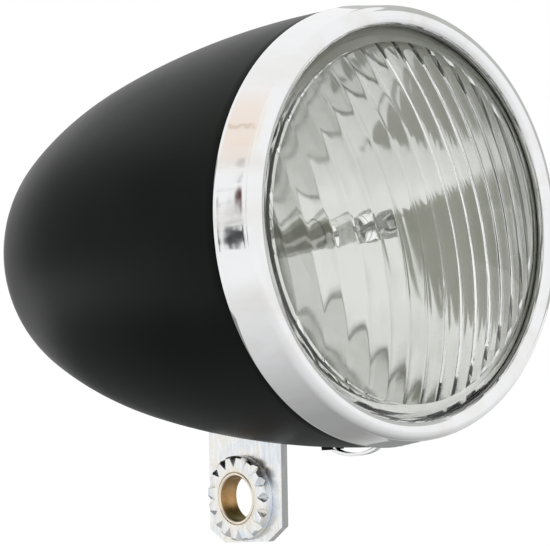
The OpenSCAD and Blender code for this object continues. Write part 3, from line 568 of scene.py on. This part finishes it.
def shell_points(start, inset):
    """The shell's outline from its mouth to the tip of its nose, under an inset."""
    flank, shoulder = (SHELL_R - FLANK_R, 0.0), shoulder_centre()
    tip = turned(SHOULDER_R, SHOULDER_TURN)
    tip = (shoulder[0] + tip[0], shoulder[1] + tip[1])
    nose_r = tip[0] / math.cos(math.radians(SHOULDER_TURN))
    back = turned(nose_r, SHOULDER_TURN)
    nose = (tip[0] - back[0], tip[1] - back[1])
    mouth_turn = math.degrees(math.asin(start / (FLANK_R - inset)))
    arcs = ((flank, FLANK_R - inset, mouth_turn, FLANK_TURN, 26),
            (shoulder, SHOULDER_R - inset, FLANK_TURN, SHOULDER_TURN, 14),
            (nose, nose_r - inset, SHOULDER_TURN, 90, 26))
    points = []
    for centre, r, low, high, steps in arcs:
        for i in range(1 if points else 0, steps + 1):
            x, y = turned(r, low + (high - low) * i / steps)
            points.append((max(centre[0] + x, 0.0), centre[1] + y))
    return points


def skin_at(back):
    """The shell's radius at a distance back, on its flank or its shoulder."""
    if back < FLANK_R * math.sin(math.radians(FLANK_TURN)):
        return SHELL_R - FLANK_R + math.sqrt(FLANK_R ** 2 - back ** 2)
    r, s = shoulder_centre()
    return r + math.sqrt(SHOULDER_R ** 2 - (back - s) ** 2)


def switch_place():
    """Where the push button comes through the skin, and the way it faces."""
    centre, out = shoulder_centre(), turned(SHOULDER_R, SWITCH_TURN)
    r, s = centre[0] + out[0], centre[1] + out[1]
    lean = math.radians(SWITCH_TURN)
    return Vector((0, s - BORE_BACK, AXIS_H + r)), Vector((0, math.sin(lean), math.cos(lean)))


def latch_line():
    """The radius at which the latch's pin lies under the skin."""
    return skin_at(LATCH_BACK) - PIN_DEPTH


def shell():
    """The drawn shell with its joggled neck, its slots for latch and tab, and its holes for switch and screws."""
    soft, joggle = 0.15, 0.3
    neck = [(NECK_R - SHELL_WALL, -NECK_LEN), (NECK_R - soft, -NECK_LEN), (NECK_R, soft - NECK_LEN),
            (NECK_R, BEZEL_GAP - joggle), (NECK_R + joggle, BEZEL_GAP)]
    mouth = [(SHELL_R - inward, BEZEL_GAP + back) for inward, back in ((0.25, 0.0), (0.07, 0.06), (0.0, 0.22))]
    outer = shell_points(BEZEL_GAP, 0.0)[1:]
    inner = shell_points(BEZEL_GAP + SHELL_WALL, SHELL_WALL)[::-1]
    close = [(NECK_R - SHELL_WALL, BEZEL_GAP + SHELL_WALL), neck[0]]
    piece = lathe("shell_skin", neck + mouth + outer + inner + close, 160)

    pin_h, reach = AXIS_H - latch_line(), 4
    eye_room = PIN_R + LATCH_T + SEAT_GAP + FREE_GAP
    eye_slot = (LATCH_W / 2 + FREE_GAP, LATCH_BACK - eye_room, LATCH_BACK + eye_room)
    tip_slot = (LATCH_W / 2 + FREE_GAP, TIP_BACK - FREE_GAP, TIP_BACK + 2.7)
    ear_slot = (LATCH_W / 2 + 1.2, LATCH_BACK - 1.2, LATCH_BACK + 1.2)
    for half, front, back in (eye_slot, tip_slot, ear_slot):
        low, high = (-half, front - BORE_BACK, pin_h - reach), (half, back - BORE_BACK, pin_h + reach)
        carve(piece, cube("slot", low, high))

    neck_low, half, front, back = AXIS_H - NECK_R, 4.3, -2.6, 1.6
    carve(piece, cube("notch", (-half, front - BORE_BACK, neck_low - 0.5), (half, back - BORE_BACK, neck_low + 2)))

    skin_h, half = 12, TAB_T / 2 + 2 * SEAT_GAP
    lean = math.tan(math.radians(TAB_LEAN)) * skin_h
    carve(piece, cube("tab_slot", (-half, -10.6 - lean, skin_h - 10), (half, 9.6 - lean, skin_h + 2)))

    spot, normal = switch_place()
    carve(piece, rod("switch_hole", spot, normal, BUTTON_R + SWITCH_COLLAR, 12, 64))
    for back in SCREWS_BACK:
        mouth = (0, back - BORE_BACK, AXIS_H - skin_at(back))
        carve(piece, countersink("screw_hole", mouth, SCREW_HEAD_R, SCREW_R, SCREW_HEAD_T))
    smooth(piece, 28)
    dress(piece, "housing", "black_paint", "housing_shell")


# ---------------------------------------------------------------- bezel, lens and bowl


def bezel():
    """The tapered band with its rolled bead and inner lip, and four nibs that keep the retaining ring in."""
    wall, hollow_r = BEZEL_WALL, BEAD_R - BEZEL_WALL
    cx, cs = BEAD_AT
    bead = [(cx + BEAD_R * math.cos(a), cs - BEAD_R * math.sin(a)) for a in fan(math.pi, 28)]
    hollow = [(cx - hollow_r * math.cos(a), cs - hollow_r * math.sin(a)) for a in fan(math.pi, 14)]
    band = [(BEZEL_R - wall + 0.1, 0.0), (BEZEL_R - 0.12, 0.0), (BEZEL_R - 0.03, -0.05), (BEZEL_R, -0.16)]
    band += [(BEZEL_R - BEZEL_TAPER * i / 8, cs * i / 8) for i in range(1, 8)]
    lip = [(LIP_R, cs + 0.2), (LIP_R + 0.12, cs + FREE_GAP), (LIP_R + wall - 0.1, cs + FREE_GAP)]
    profile = band + bead + lip + hollow + [(BEZEL_R - wall, -0.1), band[0]]
    piece = lathe("bezel_band", profile, 180)
    nib_in, nib_out, nib_front, nib_back, nib_turn = 38.25, 39.1, -2.95, -1.9, 5
    corners = [(nib_in, nib_front), (nib_out, nib_front), (nib_out, nib_back), (nib_in, nib_back)]
    corners.append(corners[0])
    joined(piece, [lathe_part("nib", corners, turn - nib_turn / 2, nib_turn, 4) for turn in (45, 135, 225, 315)])
    smooth(piece, 35)
    dress(piece, "bezel", "chrome", "bezel_ring")


def lathe_part(name, profile, start, angle, steps):
    """A short stretch of a turned shape, closed at both ends."""
    piece = outline(name, [lamp_point(r, s) for r, s in profile])
    filled(piece)
    swung(piece, lamp_point(0, 0), (0, 1, 0), math.radians(start))
    return spun(piece, lamp_point(0, 0), (0, 1, 0), steps, math.radians(angle))


def joined(piece, others):
    deselect()
    for other in others:
        other.select_set(True)
    piece.select_set(True)
    bpy.context.view_layer.objects.active = piece
    bpy.ops.object.join()


def lens():
    """A domed glass: its fluted section is drawn, swung through the dome, cut round and given its flange."""
    crown = DOME_R - LENS_T + FLUTE_R
    spokes = [math.asin((i - (FLUTES - 1) / 2) * FLUTE_PITCH / DOME_R) for i in range(-1, FLUTES + 1)]
    reach = math.asin(LENS_R / DOME_R) + math.radians(2.2)

    def inside(a):
        """The fluted inner face's distance from the dome's centre, where the nearest flute decides."""
        depths = []
        for spoke in spokes:
            sine = crown * math.sin(a - spoke)
            if abs(sine) < FLUTE_R:
                depths.append(crown * math.cos(a - spoke) - math.sqrt(FLUTE_R ** 2 - sine ** 2))
        return min(depths)

    def at(a, r):
        return Vector((r * math.sin(a) * MM, (DOME_BACK - BORE_BACK - r * math.cos(a)) * MM, AXIS_H * MM))

    steps = 220
    angles = [-reach + 2 * reach * i / steps for i in range(steps + 1)]
    points = [at(a, inside(a)) for a in angles] + [at(a, DOME_R) for a in angles[::-1][::3]]
    points += [at(-reach, DOME_R), points[0]]
    piece = outline("lens_glass", points)
    filled(piece)
    hub = Vector((0, (DOME_BACK - BORE_BACK) * MM, AXIS_H * MM))
    swung(piece, hub, (1, 0, 0), -reach)
    spun(piece, hub, (1, 0, 0), 110, 2 * reach)
    swung(piece, lamp_point(0, 0), (0, 1, 0), -math.radians(LENS_TURN))

    seam = 0.001
    middle, depth = (LENS_FRONT - DOME_RISE + LENS_BACK) / 2, DOME_RISE + LENS_FLANGE_T - seam + 2
    carve(piece, axial_rod("lens_round", 0, middle, LENS_R, depth, 200), "INTERSECT")
    carve(piece, axial_rod("lens_rear", 0, LENS_BACK + 10, 50, 20, 64))
    under, edge_w, past = DOME_R - LENS_RIM_T, 2.8, LENS_BACK + 1
    radii = [FLUTE_ZONE_R + r for r in fan(edge_w, 8)]
    recess = [(r, DOME_BACK - math.sqrt(under ** 2 - r ** 2)) for r in radii] + [(radii[-1], past), (radii[0], past)]
    carve(piece, lathe("lens_recess", recess + recess[:1], 200))
    foot, front, back = LENS_R - 1.0, LENS_FRONT + 0.02, LENS_BACK - seam
    flange = [(foot, front), (STACK_R, front), (STACK_R, back), (foot, back), (foot, front)]
    carve(piece, lathe("lens_flange", flange, 200), "UNION")
    tidy(piece, 1e-6)
    smooth(piece, 30)
    dress(piece, "bezel", "lens_glass", "lens")
    piece.visible_shadow = False


def bowl():
    """A parabola with its wall, rim, collar round the light source and two bosses for the board."""
    hole = LED_FLANGE_R + 0.1

    def inner(r):
        return r, BOWL_BOTTOM - r * r / (4 * FOCAL)

    def outer(r):
        length = math.hypot(r, 2 * FOCAL)
        x, y = inner(r)
        return x + BOWL_WALL * r / length, y + BOWL_WALL * 2 * FOCAL / length

    radii = [hole + r for r in fan(BOWL_R - hole, 40)]
    chamfer = (hole, BOWL_BOTTOM + 0.3)
    front = [chamfer] + [inner(r) for r in radii] + [(BOWL_R + 0.08, RIM_FRONT), (BOWL_R + 0.5, RIM_FRONT)]
    rim = [(STACK_R, RIM_FRONT), (STACK_R, RIM_FRONT + RIM_T), (outer(BOWL_R)[0] + 0.2, RIM_FRONT + RIM_T)]
    back = [outer(r) for r in radii[::-1][1::2] if outer(r)[0] > COLLAR_R + 0.2]
    collar = [(COLLAR_R, BOWL_BOTTOM + 1.3), (COLLAR_R, BOWL_END), (hole, BOWL_END), chamfer]
    piece = lathe("reflector_bowl", front + rim + back + collar, 160)
    near = outer(BOSS_X)[1] - 0.5
    for x in (-BOSS_X, BOSS_X):
        carve(piece, axial_rod("boss", x, (near + BOWL_END) / 2, BOSS_R, BOWL_END - near, 40), "UNION")
        carve(piece, axial_rod("tapped", x, TAPPED_BACK, TAPPED_R, 4, 24))
    smooth(piece, 35)
    dress(piece, "bezel", "mirror_coat", "reflector")


# ---------------------------------------------------------------- light source


def light_source():
    """The LED's clear body with its domed tip and flange, and the sleeve that holds it off the board."""
    tip = RIM_FRONT + LED_TIP_BACK
    base = tip + LED_LEN
    neck, soft = base - LED_FLANGE_T, 0.08
    dome = [(LED_R * math.sin(a), tip + LED_R - LED_R * math.cos(a)) for a in fan(math.pi / 2, 16)]
    flange = [(LED_R, neck - 0.15), (LED_R + 0.12, neck), (LED_FLANGE_R - soft, neck), (LED_FLANGE_R, neck + 0.1),
              (LED_FLANGE_R, base - soft), (LED_FLANGE_R - soft, base), (0.0, base)]
    piece = lathe("led_resin", dome + flange, 64)
    smooth(piece, 40)
    dress(piece, "bezel", "led_epoxy", "led")
    piece.visible_shadow = False
    front = base + SEAT_GAP
    sleeve = [(0.0, front), (2.6, front), (SLEEVE_R, front + 0.2), (SLEEVE_R, front + 1.2),
              (SLEEVE_WAIST_R, front + 1.4), (SLEEVE_WAIST_R, BOWL_BOTTOM - 3.2), (SLEEVE_R, BOWL_BOTTOM - 3.0),
              (SLEEVE_R, BOWL_END), (0.0, BOWL_END)]
    tube = lathe("stand_off", sleeve, 64)
    for x in (-LEAD_X, LEAD_X):
        carve(tube, axial_rod("lead_hole", x, (front + BOARD_FRONT) / 2, LEAD_HOLE_R, 14, 20))
    smooth(tube, 40)
    dress(tube, "bezel", "white_nylon", "led_sleeve")


# ---------------------------------------------------------------- rosette and bush


def rosette():
    """A turned ring in which a leaning V cutter makes one groove after another, each rising inwards."""
    seat, face, soft = -TAB_T / 2, -(TAB_T / 2 + ROSETTE_T), 0.15
    hole = BORE_R + BUSH_WALL + SEAT_GAP
    ring = [(hole, seat), (ROSETTE_R - soft, seat), (ROSETTE_R, seat - soft), (ROSETTE_R, face + 0.35),
            (ROSETTE_R - 0.35, face), (hole + 0.1, face), (hole, face + 0.1), (hole, seat)]
    piece = bore_lathe("rosette_ring", ring, 192)
    teeth_in = BORE_R + BUSH_WALL + 0.9
    climb = math.atan(TOOTH_DEPTH / (ROSETTE_R - teeth_in))
    half = math.pi * ROSETTE_R / TEETH * 0.8
    bottom, top = face + TOOTH_DEPTH, face - TOOTH_DEPTH
    corners = [Vector(c) * MM for c in ((bottom, 0, 0), (top, 2 * half, 0), (top, -2 * half, 0), (bottom, 0, 0))]
    for i in range(TEETH):
        cutter = outline("groove", corners)
        filled(cutter, (0, 0, 10 * MM))
        swung(cutter, (bottom * MM, 0, ROSETTE_R * MM), (0, 1, 0), climb)
        swung(cutter, (0, 0, 0), (1, 0, 0), -TAU * i / TEETH - math.pi / 2)
        tidy(cutter)
        carve(piece, cutter)
    tidy(piece, 3e-6)
    eased(piece, 0.16, 3, 28)
    smooth(piece, 50)
    dress(piece, "housing", "zinc", "rosette")


def bush():
    """The bush's sleeve through rosette and tab, with its flange on the far side."""
    front, seat, back = -(TAB_T / 2 + ROSETTE_T), TAB_T / 2, TAB_T / 2 + FLANGE_T
    out, soft = BORE_R + BUSH_WALL, 0.12
    start = (BORE_R, front + 0.25)
    profile = [start, (BORE_R + 0.25, front), (out - soft, front), (out, front + soft), (out, seat),
               (FLANGE_R - 0.1, seat), (FLANGE_R, seat + soft), (FLANGE_R, back - 0.15), (FLANGE_R - 0.15, back),
               (BORE_R + 0.2, back), (BORE_R, back - 0.2), start]
    piece = bore_lathe("bush_sleeve", profile, 96)
    smooth(piece, 30)
    dress(piece, "housing", "brass", "pivot_bush")


# ---------------------------------------------------------------- latch


def latch():
    """The sprung strip: an eye on the pin, a bow for the fingertip and a tip turned in through the skin."""
    back = LATCH_BACK - 0.7
    middle, half = (LATCH_FRONT + back) / 2, (back - LATCH_FRONT) / 2
    top = skin_at(middle) + BOW_GAP + LATCH_T
    rise = top - SHELL_R - 0.45
    arc = (half ** 2 + rise ** 2) / (2 * rise)
    turn = math.asin(half / arc)
    eye_r = PIN_R + LATCH_T + SEAT_GAP
    overlap, tip_end = 0.08, 38.1
    root, root_back = latch_line() + eye_r - overlap, LATCH_BACK + overlap

    def bow(r, way):
        angles = [turn * i / 14 for i in range(-14, 15)]
        return [(top - arc + r * math.cos(a), middle - way * r * math.sin(a)) for a in angles]

    tip = [(SHELL_R - 0.12, TIP_BACK + 0.18), (SHELL_R - 0.5, TIP_BACK), (tip_end, TIP_BACK),
           (tip_end, TIP_BACK + LATCH_T), (SHELL_R - 0.8, TIP_BACK + LATCH_T)]
    points = [(root, root_back)] + bow(arc, 1) + tip + bow(arc - LATCH_T, -1) + [(root - LATCH_T, root_back)]
    aside = Vector((-LATCH_W / 2 * MM, 0, 0))
    piece = outline("latch_strip", [lamp_point(-r, s) + aside for r, s in points + points[:1]])
    filled(piece, (LATCH_W * MM, 0, 0))
    tidy(piece)
    pin = (0, LATCH_BACK - BORE_BACK, AXIS_H - latch_line())
    carve(piece, rod("eye", pin, (1, 0, 0), eye_r, LATCH_W - 0.002), "UNION")
    carve(piece, rod("pin_hole", pin, (1, 0, 0), PIN_R + SEAT_GAP, LATCH_W + 2, 40))
    eased(piece, 0.09, 2, 40)
    smooth(piece, 45)
    dress(piece, "latch", "chrome", "latch_lever")


# ---------------------------------------------------------------- CAD pieces that stay


def dress_nodes():
    """Gives every node of the part the finish of its slot."""
    for name, node in frame["nodes"].items():
        node.data.materials.clear()
        node.data.materials.append(FINISHES[SLOT_OF[name]].material)


def soften_node(name, width):
    """Welds a kept node's loose triangles and eases its edges, through live modifiers."""
    node = frame["nodes"][name]
    node.modifiers.new("weld", "WELD").merge_threshold = 1e-6
    bevelled(node, width, 2, 30)


# ---------------------------------------------------------------- studio

FLOOR_H = -0.07


def glowing(name, color, torn=None):
    """A card's even glow, torn by noise where torn gives its scale across and along, shift, level and softness."""
    f = Finish(name, color, 1.0)
    shown = f.add("ShaderNodeEmission", {}, {"Color": (*color, 1.0)}).out()
    if torn:
        across, along, shift, level, soft = torn
        x, y = f.axis("X"), f.axis("Y")
        rag = f.noise(1.0, 3, f.mapped((across, along, 1), shift=(shift,) * 3)) - (x * x + y * y) * 1.6
        clear = f.add("ShaderNodeBsdfTransparent").out()
        shown = f.add("ShaderNodeMixShader", {}, {0: f.between(rag, level, level + soft), 1: clear, 2: shown}).out()
    f.feed(f.tree.nodes["Material Output"].inputs["Surface"], shown)
    return f.material


def seen_straight(nodes, links):
    """A mask that is 1 where a camera, glass or mirror ray looks at the studio."""
    rays = nodes.new("ShaderNodeLightPath")
    seen = rays.outputs["Is Camera Ray"]
    for kind in ("Is Transmission Ray", "Is Glossy Ray"):
        either = nodes.new("ShaderNodeMath")
        either.operation, either.use_clamp = "ADD", True
        links.new(seen, either.inputs[0])
        links.new(rays.outputs[kind], either.inputs[1])
        seen = either.outputs[0]
    return seen


def floor():
    """A floor that is white to the eye and in glass; for chrome, a painted shadow darkens it under and round the
    lamp.
    """
    deselect()
    bpy.ops.mesh.primitive_plane_add(size=12, location=(0, 0, FLOOR_H))
    piece = bpy.context.object
    piece.name = "floor"
    f = Finish("floor_white", (0.62, 0.62, 0.62), 0.9)
    lamp_foot, full, to_the_eye = (0.03, 0.02, 0.0), 1.08, 1.05
    away = f.add("ShaderNodeVectorMath", {"operation": "DISTANCE"}, {0: f.place, 1: lamp_foot}).out("Value")
    # Painted shadow: for mirror rays the floor darkens towards the lamp's foot.
    shade = f.ramp(away, [(at, (level / full,) * 3) for at, level in (
        (0.03, 0.34), (0.082, 0.58), (0.125, 0.78), (0.19, 0.9), (0.4, full))])
    mirrored = f.add("ShaderNodeLightPath").out("Is Glossy Ray")
    level = f.add("ShaderNodeMix", {"data_type": "FLOAT"}, {0: mirrored, 2: to_the_eye, 3: shade}).out()
    glow = f.add("ShaderNodeEmission", {}, {"Strength": level * full}).out()
    share = Val(f, seen_straight(f.tree.nodes, f.tree.links)) * 0.85
    mix = f.add("ShaderNodeMixShader", {}, {0: share, 1: Val(f, f.surface.outputs[0]), 2: glow}).out()
    f.feed(f.tree.nodes["Material Output"].inputs["Surface"], mix)
    piece.data.materials.append(f.material)


def sky():
    """A white surround for the eye, glass and chrome that lights the lamp only half as strongly."""
    world = bpy.data.worlds.new("studio")
    bpy.context.scene.world = world
    world.use_nodes = True
    nodes, links = world.node_tree.nodes, world.node_tree.links
    nodes.clear()
    out, mix = nodes.new("ShaderNodeOutputWorld"), nodes.new("ShaderNodeMixShader")
    links.new(seen_straight(nodes, links), mix.inputs[0])
    for socket, strength in ((1, 0.5), (2, 1.0)):
        light = nodes.new("ShaderNodeBackground")
        light.inputs["Color"].default_value, light.inputs["Strength"].default_value = (1, 1, 1, 1), strength
        links.new(light.outputs[0], mix.inputs[socket])
    links.new(mix.outputs[0], out.inputs[0])


def card(name, place, facing, width, height, color, roll=0.0, glass=True, mirrors=True, torn=None):
    """A flat card of the room outside the picture, which the camera doesn't see; chrome, glass or both do."""
    deselect()
    turn = (Vector(facing) - Vector(place)).to_track_quat("Z", "Y") @ Quaternion((0, 0, 1), math.radians(roll))
    bpy.ops.mesh.primitive_plane_add(size=1, location=place, rotation=turn.to_euler())
    piece = bpy.context.object
    piece.name = name
    piece.scale = (width, height, 1)
    piece.data.materials.append(glowing(name, color, torn))
    piece.visible_camera = piece.visible_shadow = piece.visible_diffuse = False
    piece.visible_glossy, piece.visible_transmission = mirrors, glass
    return piece


def lamp_light(name, place, target, size, power):
    """A soft square light that neither chrome nor glass mirrors."""
    deselect()
    bpy.ops.object.light_add(type="AREA", location=place)
    light = bpy.context.object
    light.name = name
    light.data.size, light.data.energy = size, power
    light.visible_glossy = light.visible_transmission = False
    light.rotation_euler = (Vector(target) - Vector(place)).to_track_quat("-Z", "Y").to_euler()


def camera():
    """The photo's camera, as fitted to the bezel's outline: angles in degrees, distances in metres."""
    azimuth, elevation, roll, distance = -43.5039, -1.5178, -4.4156, 0.61155
    focal_px, width_px, sensor = 3428.07, 550, 36
    bezel_front, aside, below = Vector((0, -0.0492, 0.048)), -0.02466, -0.009123
    a, e, t = map(math.radians, (azimuth, elevation, roll))
    out = Vector((math.sin(a) * math.cos(e), -math.cos(a) * math.cos(e), math.sin(e)))
    right = Vector((math.cos(a), math.sin(a), 0))
    up = out.cross(right)
    turned_right = right * math.cos(t) + up * math.sin(t)
    turned_up = up * math.cos(t) - right * math.sin(t)
    aim = bezel_front + turned_right * aside + turned_up * below
    data = bpy.data.cameras.new("camera")
    data.lens, data.sensor_width, data.sensor_fit = focal_px * sensor / width_px, sensor, "HORIZONTAL"
    eye = bpy.data.objects.new("camera", data)
    bpy.context.scene.collection.objects.link(eye)
    place = Matrix((turned_right, turned_up, out)).transposed().to_4x4()
    place.translation = aim + out * distance
    eye.matrix_world = place
    bpy.context.scene.camera = eye


dress_nodes()
shell()
bezel()
lens()
bowl()
light_source()
rosette()
bush()
latch()
for name, width in (("bracket_tab", 0.18), ("latch_yoke", 0.1), ("latch_pin", 0.08), ("bezel_hook", 0.1),
                    ("bezel_catch", 0.1)):
    soften_node(name, width)

camera()
floor()
sky()

# The room that chrome and glass see, with two sheets of painted shade on the floor: name, place, what it faces,
# width, height, colour, and how it is seen
OLIVE, GROUND = (0.25, 0.255, 0.205), FLOOR_H + 0.001
CARDS = (
    ("olive_wall", (-0.9, -1.25, 1.05), (0, -0.045, 1.05), 1.5, 2.3, OLIVE, {"mirrors": False}),
    ("olive_table", (-0.64, -1.02, GROUND), (-0.64, -1.02, 1), 0.9, 1.7, OLIVE, {"mirrors": False}),
    # Painted shade: a grey sheet on the floor in front of the lamp, where its shadow falls, seen through the glass.
    ("painted_front_shade", (0, -0.105, GROUND), (0, -0.105, 1), 0.15, 0.13, (0.3, 0.305, 0.27), {"mirrors": False}),
    # Painted shade: a grey sheet on the floor behind the lamp, where the floor lies in shade, seen in chrome.
    ("painted_floor_shade", (0.14, 0.26, GROUND), (0.14, 0.26, 1), 0.6, 0.36, (0.28, 0.29, 0.285), {"glass": False}),
    ("dim_side", (0.9, 0.13, 0.5), (0, 0.13, 0.5), 1.5, 1.2, (0.56, 0.57, 0.55), {"glass": False}),
    ("dim_back", (-0.28, 1.0, 0.28), (0, 0, 0.05), 0.8, 0.6, (0.4, 0.41, 0.4), {"glass": False}),
    ("dark_chair", (-0.1656, 0.0363, 0.0548), (-0.0394, -0.0445, 0.047), 0.017, 0.06, (0.02, 0.024, 0.028),
     {"roll": 1, "glass": False, "torn": (4.4, 3.0, 3.1, 0.37, 0.06)}),
    ("brown_case", (-0.1597, 0.0337, 0.0913), (-0.0388, -0.0466, 0.0536), 0.0066, 0.042, (0.08, 0.02, 0.012),
     {"roll": -10.8, "glass": False, "torn": (1, 1, 5, 0.06, 0.16)}),
    ("far_frame", (-0.1404, 0.0354, 0.1316), (-0.0373, -0.0468, 0.0599), 0.0042, 0.014, (0.3, 0.3, 0.3),
     {"roll": -24.1, "glass": False, "torn": (1, 1, 5, 0.16, 0.2)}),
    ("near_frame", (-0.1497, 0.0344, 0.1151), (-0.0381, -0.0472, 0.0569), 0.0042, 0.015, (0.26, 0.26, 0.26),
     {"roll": -17.5, "glass": False, "torn": (1, 1, 5, 0.16, 0.2)}),
    ("peach_wall", (-0.1365, 0.0688, 0.1966), (-0.0353, -0.0437, 0.0659), 0.08, 0.2, (0.97, 0.82, 0.70),
     {"roll": -41.3, "glass": False, "torn": (1, 2, 7, 0.2, 0.42)}),
    ("cream_wall", (-0.142, -0.045, 0.192), (-0.036, -0.048, 0.066), 0.2, 0.09, (1.0, 0.92, 0.8),
     {"glass": False, "torn": (1, 1, 7, 0.15, 0.5)}),
    ("shelf_edge", (-0.1341, 0.0704, 0.1973), (-0.0351, -0.043, 0.0665), 0.016, 0.03, (0.38, 0.25, 0.15),
     {"roll": -18.4, "glass": False, "torn": (4, 2.2, 2, 0.37, 0.12)}),
)
for name, place, facing, width, height, color, seen in CARDS:
    card(name, place, facing, width, height, color, **seen)
lamp_light("key", (-0.6, -0.5, 0.9), (0, 0, 0.04), 0.6, 6)
bpy.context.scene.view_settings.view_transform = "Standard"
